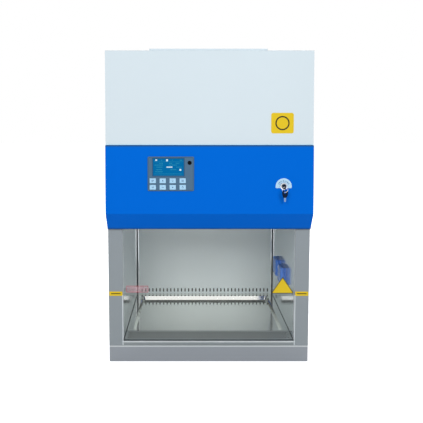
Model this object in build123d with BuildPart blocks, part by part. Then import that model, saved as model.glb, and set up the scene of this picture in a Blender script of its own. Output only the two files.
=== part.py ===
"""Compact bench-top biosafety cabinet with a counterbalanced glass sash.

Frame: millimetres, +Z up, +X to the right, the front faces -Y.
Origin: the middle of the base's underside.
Each piece is one node, written to parts/ under its own name.
"""

import math
import os

from build123d import *

os.makedirs("parts", exist_ok=True)

# ---- driving dimensions -------------------------------------------------------------
WIDTH = 700.0                 # over the side panels
FRONT_Y, BACK_Y = -300.0, 300.0
HALF = WIDTH / 2
SHEET = 2.0                   # outer casing sheet
LINER = 1.5                   # stainless liner of the work chamber
BASE_H = 58.0                 # base pan, up to the seam under the sill
SEAM = 0.5                    # gap between the base pan and the sheets above it
SILL_Z = 75.0                 # top of the sill, tray rim and front grille
TOP_Z = 1083.0                # top of the casing
OPENING_HALF = 300.0          # half width of the work opening and of the chamber

# sash
GLASS_T = 5.0
GLASS_Y = -291.0              # front face of the glass
GLASS_HALF = 307.0
GLASS_BOTTOM, GLASS_H = 242.0, 435.0
SLOT_GAP = 1.0                # play of the glass in its guides, each side
GUIDE_Y = (-298.0, -282.0)
GUIDE_X = (300.0, 311.0)
GUIDE_TOP = 930.0

# blue control hood, a folded cover: (Y, Z) of its outline
HOOD_BOTTOM = (-310.0, 476.0)
HOOD_FOLD = (-349.0, 536.0)
HOOD_TOP = (-338.0, 766.5)
UPPER_BOTTOM = (-330.0, 767.5)
UPPER_TOP = (-319.0, TOP_Z)

# work chamber and its tray
CHAMBER_BACK_Y = 220.0
CEILING_Z = 615.0
LINER_FOOT_Z = 40.0           # the liner walls reach below the tray
TRAY_Y = (-209.0, 218.0)
TRAY_HALF = 298.5
TRAY_T = 1.5
RECESS_Z = 60.0
RECESS_BOTTOM = (-269.0, 269.0, -196.0, 174.0)
RECESS_SLOPE = 7.0
GRILLE_Y = (-283.0, -210.5)
GRILLE_HOLE, GRILLE_PITCH, GRILLE_GRID = (15.0, 28.0), (23.0, 33.0), (25, 2)
BACK_SLOTS, BACK_SLOT_PITCH, BACK_SLOT_Z = 36, 16.0, 90.0
BACK_SLOT_W, BACK_SLOT_H, BACK_SLOT_CORNER = 5.0, 16.0, 1.5

# controls, in the hood face's own plane: (along X, up the face) from the middle of its fold
BEZEL_C, BEZEL_SIZE, BEZEL_T = (-130.0, 135.2), (156.0, 116.0), 4.0
LCD_C, LCD_SIZE = (-138.0, 157.7), (104.0, 58.0)
KEY_SIZE, KEY_COLUMNS, KEY_PITCH, KEY_ROWS = (21.0, 16.0), 4, 33.4, (112.1, 90.1)
KEY_FIRST_X = -190.5
KEY_PLAY, KEY_SUNK, KEY_PROUD = 0.4, 2.0, 1.6
IR_C, IR_R = (-67.0, 172.2), 7.0
SWITCH_C = (249.0, 93.1)
SWITCH_RING_R, SWITCH_BODY_R, BARREL_R, BARREL_PLAY = 12.5, 9.5, 6.0, 0.05

# splash-proof sockets on the right wall: the centre Y of each
SOCKET_YS = {"front": -83.0, "rear": 34.0}
SOCKET_W, SOCKET_H, SOCKET_Z = 70.0, 66.0, 251.0
SOCKET_BASE_T, SOCKET_DEPTH = 7.0, 20.0

# counterbalance
CABLE_X, WEIGHT_X = 296.0, 326.0
PULLEY_R = (WEIGHT_X - CABLE_X) / 2
PULLEY_Z = 1010.0
WEIGHT_SIZE, WEIGHT_Z = (24.0, 28.0, 325.0), 556.0

# blower and filters
FAN_C = (40.0, 850.0)         # X and Z of the shaft
FAN_Y = (118.0, 214.0)
IMPELLER_R, BLADES = 100.0, 32
INTAKE_R = 76.0
SHAFT_R, SHAFT_PLAY = 5.0, 0.05
SUPPLY_Z = (619.0, 689.0)
EXHAUST_Z = (1001.0, 1069.0)
DECK_Z = (998.0, 1000.0)

# ---- helpers ------------------------------------------------------------------------


def save(piece, name):
    """Labels a finished piece and writes it as a node."""
    piece.part.label = name
    export_step(piece.part, f"parts/{name}.step")


def block(x, y, z, mode=Mode.ADD):
    """A box between two X, two Y and two Z values, in the part being built."""
    (x0, x1), (y0, y1), (z0, z1) = sorted(x), sorted(y), sorted(z)
    with Locations(((x0 + x1) / 2, (y0 + y1) / 2, (z0 + z1) / 2)):
        Box(x1 - x0, y1 - y0, z1 - z0, mode=mode)


def outline(*points):
    """A closed straight-sided face in the sketch being built."""
    with BuildLine(Plane.XY) as border:
        Polyline(*points, close=True)
    make_face(border.edges())


def at_y(y):
    """An upright plane at Y = y, seen from the front: extrusions come towards the user."""
    return Plane.XZ.offset(-y)


FACE_RUN, FACE_RISE = HOOD_TOP[0] - HOOD_FOLD[0], HOOD_TOP[1] - HOOD_FOLD[1]
FACE_LEN = math.hypot(FACE_RUN, FACE_RISE)
HOOD_FACE = Plane(
    origin=(0, HOOD_FOLD[0], HOOD_FOLD[1]),
    x_dir=(1, 0, 0),
    z_dir=(0, -FACE_RISE / FACE_LEN, FACE_RUN / FACE_LEN),
)


# ---- casing -------------------------------------------------------------------------

with BuildPart() as base_pan:
    block((-HALF, HALF), (FRONT_Y, BACK_Y), (0, BASE_H))
    top_face = base_pan.faces().sort_by(Axis.Z)[-1]
    offset(amount=-SHEET, openings=top_face)
    fillet(base_pan.edges().filter_by(Axis.Z).sort_by(Axis.Y)[:2], radius=1.5)
save(base_pan, "base_pan")

SILL_BACK_Y = -284.0
with BuildPart() as front_sill:
    with BuildSketch(Plane.YZ) as sill_section:
        outline(
            (FRONT_Y, BASE_H + SEAM), (FRONT_Y + SHEET, BASE_H + SEAM), (FRONT_Y + SHEET, SILL_Z - SHEET),
            (SILL_BACK_Y, SILL_Z - SHEET), (SILL_BACK_Y, SILL_Z), (FRONT_Y, SILL_Z),
        )
        front_top = sill_section.vertices().group_by(Axis.Y)[-1].sort_by(Axis.X)[:1]
        fillet(front_top, radius=1.8)
    extrude(amount=OPENING_HALF, both=True)
save(front_sill, "front_sill")

RETURN = 28.0                 # the post's flange, turned back inside the side panel
for side, hand in ((-1, "left"), (1, "right")):
    flange_x = side * (HALF - SHEET)
    with BuildPart() as post:
        with BuildSketch(Plane.XY.offset(BASE_H + SEAM)):
            outline(
                (side * OPENING_HALF, FRONT_Y), (side * HALF, FRONT_Y), (side * HALF, FRONT_Y + SHEET),
                (flange_x, FRONT_Y + SHEET), (flange_x, FRONT_Y + RETURN),
                (flange_x - side * SHEET, FRONT_Y + RETURN), (flange_x - side * SHEET, FRONT_Y + SHEET),
                (side * OPENING_HALF, FRONT_Y + SHEET),
            )
        extrude(amount=TOP_Z - SHEET - BASE_H - SEAM)
    save(post, f"{hand}_post")

    # An extruded channel: the glass runs in its slot.
    slot_y = (GLASS_Y - SLOT_GAP, GLASS_Y + GLASS_T + SLOT_GAP)
    slot_x = GLASS_HALF + 1.5
    with BuildPart() as guide:
        with BuildSketch(Plane.XY.offset(SILL_Z)):
            outline(
                (side * GUIDE_X[0], GUIDE_Y[0]), (side * GUIDE_X[1], GUIDE_Y[0]),
                (side * GUIDE_X[1], GUIDE_Y[1]), (side * GUIDE_X[0], GUIDE_Y[1]),
                (side * GUIDE_X[0], slot_y[1]), (side * slot_x, slot_y[1]),
                (side * slot_x, slot_y[0]), (side * GUIDE_X[0], slot_y[0]),
            )
        extrude(amount=GUIDE_TOP - SILL_Z)
    save(guide, f"{hand}_sash_guide")

    with BuildPart() as side_panel:
        with BuildSketch(Plane.YZ.offset(side * HALF)):
            outline(
                (FRONT_Y + SHEET, BASE_H + SEAM), (BACK_Y - SHEET, BASE_H + SEAM),
                (BACK_Y - SHEET, TOP_Z - SHEET), (FRONT_Y + SHEET, TOP_Z - SHEET),
            )
        extrude(amount=-side * SHEET)
    save(side_panel, f"{hand}_side_panel")

    with BuildPart() as chamber_wall:
        block(
            (side * OPENING_HALF, side * (OPENING_HALF + LINER)),
            (GUIDE_Y[1], CHAMBER_BACK_Y + LINER), (LINER_FOOT_Z, CEILING_Z),
        )
    save(chamber_wall, f"{hand}_chamber_wall")

INLET_C, INLET_SIZE = (-255.0, 130.0), (48.0, 28.0)
INLET_FLANGE, INLET_LIP, INLET_PLAY, INLET_DEPTH = 8.0, 2.5, 0.6, 24.0
SOCKET_MOUTH, MOUTH_DEPTH, PIN_SIZE, PIN_LEN = (28.0, 20.0), 18.0, (2.0, 4.0), 12.0
with BuildPart() as rear_panel:
    with BuildSketch(at_y(BACK_Y)):
        outline(
            (-HALF, BASE_H + SEAM), (HALF, BASE_H + SEAM), (HALF, TOP_Z - SHEET), (-HALF, TOP_Z - SHEET),
        )
        with Locations(INLET_C):
            Rectangle(*INLET_SIZE, mode=Mode.SUBTRACT)
    extrude(amount=SHEET)
save(rear_panel, "rear_panel")

# The supply inlet: a flanged body in the rear panel with a recess for the plug.
with BuildPart() as power_inlet:
    with BuildSketch(at_y(BACK_Y + INLET_LIP)):
        with Locations(INLET_C):
            RectangleRounded(INLET_SIZE[0] + INLET_FLANGE, INLET_SIZE[1] + INLET_FLANGE, 4)
    extrude(amount=INLET_LIP)
    with BuildSketch(at_y(BACK_Y)):
        with Locations(INLET_C):
            Rectangle(INLET_SIZE[0] - INLET_PLAY, INLET_SIZE[1] - INLET_PLAY)
    extrude(amount=INLET_DEPTH)
    with BuildSketch(at_y(BACK_Y + INLET_LIP)):
        with Locations(INLET_C):
            RectangleRounded(*SOCKET_MOUTH, 3)
    extrude(amount=MOUTH_DEPTH, mode=Mode.SUBTRACT)
    with BuildSketch(at_y(BACK_Y + INLET_LIP - MOUTH_DEPTH + PIN_LEN - 0.5)):
        for dx, dz in ((-7, 0), (0, -4), (7, 0)):
            with Locations((INLET_C[0] + dx, INLET_C[1] + dz)):
                Rectangle(*PIN_SIZE)
    extrude(amount=PIN_LEN)
save(power_inlet, "power_inlet")

GUARD_X, GUARD_Y, GUARD_H = 211.0, (-200.0, 212.0), 20.0
GUARD_SLOT, GUARD_PITCH, GUARD_GRID = (12.0, 168.0), (24.0, 192.0), (16, 2)
EXHAUST_HALF_X, EXHAUST_Y = 196.0, (-188.0, 200.0)
with BuildPart() as top_panel:
    block((-HALF, HALF), (FRONT_Y, BACK_Y), (TOP_Z - SHEET, TOP_Z))
    block((-EXHAUST_HALF_X, EXHAUST_HALF_X), EXHAUST_Y, (TOP_Z - SHEET, TOP_Z), mode=Mode.SUBTRACT)
save(top_panel, "top_panel")

# A raised perforated cover over the exhaust outlet, open underneath.
with BuildPart() as exhaust_guard:
    block((-GUARD_X, GUARD_X), GUARD_Y, (TOP_Z, TOP_Z + GUARD_H))
    fillet(exhaust_guard.edges().filter_by(Axis.Z), radius=6)
    offset(amount=-LINER, openings=exhaust_guard.faces().sort_by(Axis.Z)[0])
    with BuildSketch(Plane.XY.offset(TOP_Z)):
        with Locations((0, (GUARD_Y[0] + GUARD_Y[1]) / 2)):
            with GridLocations(*GUARD_PITCH, *GUARD_GRID):
                Rectangle(*GUARD_SLOT)
    extrude(amount=GUARD_H, mode=Mode.SUBTRACT)
save(exhaust_guard, "exhaust_guard")

with BuildPart() as upper_front_panel:
    with BuildSketch(Plane.YZ):
        outline((FRONT_Y, UPPER_BOTTOM[1]), UPPER_BOTTOM, UPPER_TOP, (FRONT_Y, TOP_Z))
    extrude(amount=HALF, both=True)
    fillet(upper_front_panel.edges().filter_by(Axis.X).group_by(Axis.Y)[1], radius=3)
    offset(amount=-SHEET, openings=upper_front_panel.faces().sort_by(Axis.Y)[-1])
save(upper_front_panel, "upper_front_panel")

with BuildPart() as control_hood:
    with BuildSketch(Plane.YZ):
        outline((FRONT_Y, HOOD_BOTTOM[1]), HOOD_BOTTOM, HOOD_FOLD, HOOD_TOP, (FRONT_Y, HOOD_TOP[1]))
    extrude(amount=HALF, both=True)
    folds = control_hood.edges().filter_by(Axis.X).filter_by(lambda e: e.center().Y < -330)
    fillet(folds, radius=3)
    offset(amount=-SHEET, openings=control_hood.faces().sort_by(Axis.Y)[-1])
    with BuildSketch(HOOD_FACE.offset(5)):
        with Locations(BEZEL_C):
            Rectangle(BEZEL_SIZE[0] - 6, BEZEL_SIZE[1] - 6)
        with Locations(SWITCH_C):
            Circle(SWITCH_BODY_R + 0.5)
    extrude(amount=-15, mode=Mode.SUBTRACT)
save(control_hood, "control_hood")

SCREW_R, SCREW_HEAD, HEAD_SIDES = 4.0, 2.2, 8
REAR_SCREWS_X, REAR_SCREWS_Z = (-335.0, -112.0, 112.0, 335.0), (75.0, 400.0, 735.0, 1065.0)
GUARD_SCREW_X, GUARD_SCREW_OUT = 200.0, 8.0
with BuildPart() as panel_screws:
    ends_z = (REAR_SCREWS_Z[0], REAR_SCREWS_Z[-1])
    spots = [(x, z) for x in REAR_SCREWS_X for z in REAR_SCREWS_Z if abs(x) > OPENING_HALF or z in ends_z]
    with BuildSketch(at_y(BACK_Y + SCREW_HEAD)):
        with Locations(*spots):
            RegularPolygon(SCREW_R, HEAD_SIDES)
    extrude(amount=SCREW_HEAD)
    with BuildSketch(Plane.XY.offset(TOP_Z)):
        for x in (-GUARD_SCREW_X, GUARD_SCREW_X):
            with Locations((x, GUARD_Y[0] - GUARD_SCREW_OUT), (x, GUARD_Y[1] + GUARD_SCREW_OUT)):
                RegularPolygon(SCREW_R, HEAD_SIDES)
    extrude(amount=SCREW_HEAD)
save(panel_screws, "panel_screws")

# ---- work chamber -------------------------------------------------------------------

with BuildSketch(Plane.XY) as back_slot:
    Rectangle(BACK_SLOT_W, BACK_SLOT_H)
    chamfer(back_slot.vertices(), length=BACK_SLOT_CORNER)
with BuildPart() as back_chamber_wall:
    wall_y = (CHAMBER_BACK_Y, CHAMBER_BACK_Y + LINER)
    block((-OPENING_HALF, OPENING_HALF), wall_y, (LINER_FOOT_Z, CEILING_Z))
    with BuildSketch(at_y(CHAMBER_BACK_Y + LINER)):
        with Locations((0, BACK_SLOT_Z)):
            with GridLocations(BACK_SLOT_PITCH, 0, BACK_SLOTS, 1):
                add(back_slot.sketch)
    extrude(amount=LINER, mode=Mode.SUBTRACT)
save(back_chamber_wall, "back_chamber_wall")

# Below the tray: a pan that catches spills, with ledges that carry the tray and the grille.
PAN_FLOOR, PAN_TOP = 24.0, SILL_Z - TRAY_T
LEDGE = 10.0
with BuildPart() as drain_pan:
    block((-TRAY_HALF, TRAY_HALF), (GRILLE_Y[0], CHAMBER_BACK_Y), (PAN_FLOOR, PAN_TOP))
    offset(amount=-LINER, openings=drain_pan.faces().sort_by(Axis.Z)[-1])
    for ledge in (-1, 1):
        block(
            (ledge * TRAY_HALF, ledge * (TRAY_HALF - LEDGE)), (GRILLE_Y[0], TRAY_Y[1]),
            (PAN_TOP - LINER, PAN_TOP),
        )
    bar_y = (TRAY_Y[0] - 0.6 * LEDGE, TRAY_Y[0] + 0.4 * LEDGE)
    block((-TRAY_HALF, TRAY_HALF), bar_y, (PAN_TOP - LINER, PAN_TOP))
save(drain_pan, "drain_pan")



def recess_section(z, grow, radius):
    """The outline of the tray's recess at one height."""
    x0, x1, y0, y1 = RECESS_BOTTOM
    with BuildSketch(Plane.XY.offset(z)) as section:
        with Locations(((x0 + x1) / 2, (y0 + y1) / 2)):
            RectangleRounded(x1 - x0 + 2 * grow, y1 - y0 + 2 * grow, radius)
    return section.sketch


# One pressed sheet: the rim, a sloping wall all round and the sunk floor.
RECESS_R = 11.0
with BuildPart() as work_tray:
    block((-TRAY_HALF, TRAY_HALF), TRAY_Y, (SILL_Z - TRAY_T, SILL_Z))
    outer_floor = recess_section(RECESS_Z - TRAY_T, 1, RECESS_R + 1)
    outer_rim = recess_section(SILL_Z - TRAY_T, 1 + RECESS_SLOPE, RECESS_R + 3)
    loft([outer_floor, outer_rim])
    inner_floor = recess_section(RECESS_Z, 0, RECESS_R)
    inner_rim = recess_section(SILL_Z + 0.01, RECESS_SLOPE, RECESS_R + 2)
    loft([inner_floor, inner_rim], mode=Mode.SUBTRACT)
save(work_tray, "work_tray")

with BuildPart() as front_grille:
    block((-TRAY_HALF, TRAY_HALF), GRILLE_Y, (SILL_Z - TRAY_T, SILL_Z))
    with BuildSketch(Plane.XY.offset(SILL_Z - TRAY_T)):
        with Locations((0, (GRILLE_Y[0] + GRILLE_Y[1]) / 2)):
            with GridLocations(*GRILLE_PITCH, *GRILLE_GRID):
                Rectangle(*GRILLE_HOLE)
    extrude(amount=TRAY_T, mode=Mode.SUBTRACT)
save(front_grille, "front_grille")

DIFFUSER_HOLE, DIFFUSER_PITCH, DIFFUSER_GRID = 50.0, 62.0, (9, 7)
with BuildPart() as supply_diffuser:
    block((-TRAY_HALF, TRAY_HALF), (GUIDE_Y[1] + 4, CHAMBER_BACK_Y), (CEILING_Z, CEILING_Z + LINER))
    with BuildSketch(Plane.XY.offset(CEILING_Z)):
        with Locations((0, (GUIDE_Y[1] + 4 + CHAMBER_BACK_Y) / 2)):
            with GridLocations(DIFFUSER_PITCH, DIFFUSER_PITCH, *DIFFUSER_GRID):
                Rectangle(DIFFUSER_HOLE, DIFFUSER_HOLE)
    extrude(amount=LINER, mode=Mode.SUBTRACT)
save(supply_diffuser, "supply_diffuser")

LAMP_Z, LAMP_Y, LAMP_HALF = 592.0, -258.0, 270.0
LAMP_HALF_TOP, LAMP_HALF_FOOT = 16.0, 12.0
with BuildPart() as work_lamp:
    with BuildSketch(Plane.YZ):
        outline(
            (LAMP_Y - LAMP_HALF_TOP, CEILING_Z), (LAMP_Y + LAMP_HALF_TOP, CEILING_Z),
            (LAMP_Y + LAMP_HALF_FOOT, LAMP_Z), (LAMP_Y - LAMP_HALF_FOOT, LAMP_Z),
        )
    extrude(amount=LAMP_HALF, both=True)
    fillet(work_lamp.edges().filter_by(Axis.X).group_by(Axis.Z)[0], radius=5)
save(work_lamp, "work_lamp")

UV_Y, UV_Z, UV_R, UV_HALF = 196.0, 585.0, 8.0, 215.0
HOLDER_LEN, HOLDER_HALF_H = 14.0, 14.0
with BuildPart() as lamp_holders:
    for end in (-1, 1):
        block(
            (end * UV_HALF, end * (UV_HALF + HOLDER_LEN)), (UV_Y - 13, CHAMBER_BACK_Y),
            (UV_Z - HOLDER_HALF_H, UV_Z + HOLDER_HALF_H),
        )
save(lamp_holders, "lamp_holders")

with BuildPart() as uv_lamp:
    with Locations((0, UV_Y, UV_Z)):
        Cylinder(UV_R, 2 * UV_HALF, rotation=(0, 90, 0))
save(uv_lamp, "uv_lamp")

# ---- filters, plenum and blower -----------------------------------------------------

PLENUM_HALF, PLENUM_Y = 297.0, (-278.0, 219.0)
FILTER_Y = (-272.0, 214.0)
FILTER_HALF = 292.0
with BuildPart() as plenum_box:
    block((-PLENUM_HALF, PLENUM_HALF), PLENUM_Y, (CEILING_Z + LINER, DECK_Z[1]))
    offset(amount=-SHEET, openings=plenum_box.faces().sort_by(Axis.Z)[0])
    block(
        (6 - EXHAUST_HALF_X, EXHAUST_HALF_X - 6), (EXHAUST_Y[0] + 10, EXHAUST_Y[1] - 10), DECK_Z,
        mode=Mode.SUBTRACT,
    )
    with BuildSketch(at_y(PLENUM_Y[1])):
        with Locations(FAN_C):
            Circle(INTAKE_R)
    extrude(amount=SHEET, mode=Mode.SUBTRACT)
save(plenum_box, "plenum_box")

FILTER_WALL, PLEATS, PAPER = 14.0, 24, 5.0
FILTERS = {
    "supply": (FILTER_HALF, FILTER_Y, SUPPLY_Z),
    "exhaust": (200.0, (EXHAUST_Y[0] - 4, EXHAUST_Y[1] + 4), EXHAUST_Z),
}


def pleated_pack(half, ys, zs):
    """The zigzag sheet that fills a filter frame, added to the part being built."""
    run = 2 * (half - FILTER_WALL) / PLEATS
    low, high = zs[0] + 4, zs[1] - 4
    heights = [high if i % 2 else low + PAPER for i in range(2 * PLEATS + 1)]
    crest = [(FILTER_WALL - half + run * i / 2, z) for i, z in enumerate(heights)]
    trough = [(x, z - PAPER) for x, z in reversed(crest)]
    with BuildSketch(at_y(ys[1] - FILTER_WALL)) as zigzag:
        outline(*crest, *trough)
    extrude(zigzag.sketch, amount=ys[1] - ys[0] - 2 * FILTER_WALL)


for name, (half, ys, zs) in FILTERS.items():
    with BuildPart() as filter_frame:
        block((-half, half), ys, zs)
        block(
            (FILTER_WALL - half, half - FILTER_WALL), (ys[0] + FILTER_WALL, ys[1] - FILTER_WALL), zs,
            mode=Mode.SUBTRACT,
        )
    save(filter_frame, f"{name}_filter_frame")

with BuildPart() as filter_media:
    for spans in FILTERS.values():
        pleated_pack(*spans)
save(filter_media, "filter_media")


def fan_plane(y):
    """An upright plane through the fan's shaft, seen from the front."""
    return Plane(origin=(FAN_C[0], y, FAN_C[1]), x_dir=(1, 0, 0), z_dir=(0, -1, 0))


# A volute made of quarter arcs whose centres step round a small square.
STEP, R0 = 12.0, 108.0
with BuildPart() as blower_housing:
    with BuildSketch(fan_plane(FAN_Y[1])):
        with BuildLine():
            CenterArc((0, 0), R0, -90, 90)
            CenterArc((-STEP, 0), R0 + STEP, 0, 90)
            CenterArc((-STEP, -STEP), R0 + 2 * STEP, 90, 90)
            wide = -STEP - R0 - 2 * STEP
            Polyline((wide, -STEP), (wide, -R0 - 30), (-28, -R0 - 30), (-16, -R0), (0, -R0))
        make_face()
    extrude(amount=FAN_Y[1] - FAN_Y[0])
    offset(amount=-LINER, openings=blower_housing.faces().sort_by(Axis.Z)[0])
    with BuildSketch(fan_plane(FAN_Y[1])):
        Circle(INTAKE_R)
    extrude(amount=LINER, mode=Mode.SUBTRACT)
    with BuildSketch(fan_plane(FAN_Y[0] + LINER)):
        Circle(20)
    extrude(amount=LINER, mode=Mode.SUBTRACT)
save(blower_housing, "blower_housing")

MOTOR_R, MOTOR_Y = 62.0, (40.0, FAN_Y[0])
HUB_R, HUB_LEN = 14.0, 34.0
WHEEL_Y = (FAN_Y[0] + 9, FAN_Y[1] - 9)
with BuildPart() as blower_motor:
    with BuildSketch(fan_plane(MOTOR_Y[1])):
        Circle(MOTOR_R)
    extrude(amount=MOTOR_Y[1] - MOTOR_Y[0])
    chamfer(blower_motor.edges().filter_by(GeomType.CIRCLE).sort_by(Axis.Y)[:1], length=6)
    with BuildSketch(fan_plane(WHEEL_Y[0] + HUB_LEN + 4)):
        Circle(SHAFT_R)
    extrude(until=Until.NEXT)
save(blower_motor, "blower_motor")

# Forward-curved wheel: a back plate, a hub, thirty-two cupped blades and a rim.
BLADE_IN, BLADE_T = 82.0, 1.4
CUP = ((BLADE_IN + 0.5, 0.0), (91.0, 4.4), (IMPELLER_R - 0.6, 2.2))
with BuildSketch(Plane.XY) as blade:
    outline(*CUP, *((x, y + BLADE_T) for x, y in reversed(CUP)))
with BuildPart() as blower_wheel:
    with BuildSketch(fan_plane(WHEEL_Y[0] + 2)):
        Circle(IMPELLER_R)
    extrude(amount=2)
    with BuildSketch(fan_plane(WHEEL_Y[0] + HUB_LEN)):
        Circle(HUB_R)
    extrude(amount=HUB_LEN)
    with BuildSketch(fan_plane(WHEEL_Y[1])):
        Circle(IMPELLER_R)
        Circle(BLADE_IN, mode=Mode.SUBTRACT)
    extrude(amount=2)
    with BuildSketch(fan_plane(WHEEL_Y[1])):
        with PolarLocations(0, BLADES):
            add(blade.sketch)
    extrude(amount=WHEEL_Y[1] - WHEEL_Y[0])
    with BuildSketch(fan_plane(WHEEL_Y[0] + HUB_LEN)):
        Circle(SHAFT_R + SHAFT_PLAY)
    extrude(amount=HUB_LEN, mode=Mode.SUBTRACT)
save(blower_wheel, "blower_wheel")

# ---- sash and counterbalance --------------------------------------------------------

with BuildPart() as sash_glass:
    block((-GLASS_HALF, GLASS_HALF), (GLASS_Y, GLASS_Y + GLASS_T), (GLASS_BOTTOM, GLASS_BOTTOM + GLASS_H))
    chamfer(sash_glass.edges().filter_by(Axis.X).group_by(Axis.Z)[0], length=0.8)
save(sash_glass, "sash_glass")

CLAMP_W, CLAMP_H, CLAMP_WALL = 26.0, 22.0, 2.5
glass_top = GLASS_BOTTOM + GLASS_H
with BuildPart() as sash_clamps:
    for side in (-1, 1):
        centre = side * (CABLE_X - 10)
        block(
            (centre - CLAMP_W / 2, centre + CLAMP_W / 2),
            (GLASS_Y - CLAMP_WALL, GLASS_Y + GLASS_T + CLAMP_WALL),
            (glass_top - CLAMP_H, glass_top + 6),
        )
        block(
            (centre - CLAMP_W / 2, centre + CLAMP_W / 2), (GLASS_Y, GLASS_Y + GLASS_T),
            (glass_top - CLAMP_H, glass_top), mode=Mode.SUBTRACT,
        )
save(sash_clamps, "sash_clamps")

CABLE_R, CABLE_Y = 1.0, GLASS_Y + GLASS_T / 2
HEAD_R, WHEEL_HALF_T, GROOVE_HALF = PULLEY_R + 4, 4.0, 1.6
AXLE_R, AXLE_PLAY = 4.0, 0.05
with BuildPart() as sash_cables:
    for side in (-1, 1):
        with BuildLine(Plane.XZ.offset(-CABLE_Y)):
            Line((side * CABLE_X, glass_top + 6), (side * CABLE_X, PULLEY_Z))
            ThreePointArc(
                (side * CABLE_X, PULLEY_Z), (side * (CABLE_X + PULLEY_R), PULLEY_Z + PULLEY_R),
                (side * WEIGHT_X, PULLEY_Z),
            )
            Line((side * WEIGHT_X, PULLEY_Z), (side * WEIGHT_X, WEIGHT_Z + WEIGHT_SIZE[2] / 2))
        with BuildSketch(Plane(origin=(side * CABLE_X, CABLE_Y, glass_top + 6), z_dir=(0, 0, 1))):
            RegularPolygon(CABLE_R, 6)
        sweep()
save(sash_cables, "sash_cables")

for side, hand in ((-1, "left"), (1, "right")):
    with BuildPart() as counterweight:
        block(
            (side * WEIGHT_X - WEIGHT_SIZE[0] / 2, side * WEIGHT_X + WEIGHT_SIZE[0] / 2),
            (CABLE_Y - 8, CABLE_Y - 8 + WEIGHT_SIZE[1]),
            (WEIGHT_Z - WEIGHT_SIZE[2] / 2, WEIGHT_Z + WEIGHT_SIZE[2] / 2),
        )
        chamfer(counterweight.edges().filter_by(Axis.Z), length=2)
    save(counterweight, f"{hand}_counterweight")

    pulley_x = side * (CABLE_X + PULLEY_R)
    bore_z, groove_z = PULLEY_Z + AXLE_R + AXLE_PLAY, PULLEY_Z + PULLEY_R - CABLE_R - 0.3
    with BuildPart() as pulley:
        with BuildSketch(Plane.YZ.offset(pulley_x)):
            outline(
                (CABLE_Y - WHEEL_HALF_T, bore_z), (CABLE_Y + WHEEL_HALF_T, bore_z),
                (CABLE_Y + WHEEL_HALF_T, PULLEY_Z + HEAD_R), (CABLE_Y + GROOVE_HALF, groove_z),
                (CABLE_Y - GROOVE_HALF, groove_z), (CABLE_Y - WHEEL_HALF_T, PULLEY_Z + HEAD_R),
            )
        revolve(axis=Axis((pulley_x, CABLE_Y, PULLEY_Z), (0, 1, 0)))
    save(pulley, f"{hand}_pulley")

# Each bracket hangs under the top panel and holds an axle.
BRACKET_T, BRACKET_HALF_W, BRACKET_FLANGE = 3.0, 18.0, 24.0
with BuildPart() as pulley_brackets:
    for side in (-1, 1):
        pulley_x = side * (CABLE_X + PULLEY_R)
        behind = CABLE_Y + WHEEL_HALF_T + 0.5
        bracket_x = (pulley_x - BRACKET_HALF_W, pulley_x + BRACKET_HALF_W)
        block(bracket_x, (behind, behind + BRACKET_T), (PULLEY_Z - 22, TOP_Z - SHEET))
        block(bracket_x, (behind, behind + BRACKET_FLANGE), (TOP_Z - SHEET - BRACKET_T, TOP_Z - SHEET))
        with Locations((pulley_x, behind - 5, PULLEY_Z)):
            Cylinder(AXLE_R, 10, rotation=(90, 0, 0))
save(pulley_brackets, "pulley_brackets")

# ---- controls on the hood -----------------------------------------------------------

key_xs = [KEY_FIRST_X + KEY_PITCH * i for i in range(KEY_COLUMNS)]
key_centres = [(x, y) for y in KEY_ROWS for x in key_xs]

with BuildPart() as control_bezel:
    with BuildSketch(HOOD_FACE):
        with Locations(BEZEL_C):
            RectangleRounded(*BEZEL_SIZE, 5)
    extrude(amount=BEZEL_T)
    chamfer(control_bezel.faces().sort_by(Axis.Y)[0].edges(), length=1.2)
    with BuildSketch(HOOD_FACE):
        with Locations(LCD_C):
            Rectangle(*LCD_SIZE)
        with Locations(IR_C):
            Circle(IR_R)
        with Locations(*key_centres):
            Rectangle(KEY_SIZE[0] + 2 * KEY_PLAY, KEY_SIZE[1] + 2 * KEY_PLAY)
    extrude(amount=BEZEL_T, mode=Mode.SUBTRACT)
save(control_bezel, "control_bezel")

with BuildPart() as lcd_window:
    with BuildSketch(HOOD_FACE):
        with Locations(LCD_C):
            Rectangle(*LCD_SIZE)
    extrude(amount=BEZEL_T - 1.2)
save(lcd_window, "lcd_window")

with BuildPart() as infrared_window:
    with BuildSketch(HOOD_FACE):
        with Locations(IR_C):
            Circle(IR_R)
    extrude(amount=BEZEL_T + 1)
    chamfer(infrared_window.edges().filter_by(GeomType.CIRCLE).sort_by(Axis.Y)[:1], length=0.8)
save(infrared_window, "infrared_window")

for number, centre in enumerate(key_centres, start=1):
    with BuildPart() as key:
        with BuildSketch(HOOD_FACE.offset(-KEY_SUNK)):
            with Locations(centre):
                Rectangle(*KEY_SIZE)
        extrude(amount=KEY_SUNK + BEZEL_T + KEY_PROUD)
        chamfer(key.faces().sort_by(Axis.Y)[0].edges(), length=0.7)
    save(key, f"key_{number}")

SCALE_R, SCALE_FLAT = 27.0, 6.0
with BuildPart() as switch_scale:
    with BuildSketch(HOOD_FACE):
        with Locations(SWITCH_C):
            Circle(SCALE_R)
            Circle(SWITCH_RING_R + 0.5, mode=Mode.SUBTRACT)
        with Locations((SWITCH_C[0], SWITCH_C[1] - SCALE_FLAT - SCALE_R)):
            Rectangle(2 * SCALE_R, 2 * SCALE_R, mode=Mode.SUBTRACT)
    extrude(amount=1)
save(switch_scale, "switch_scale")

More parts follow.
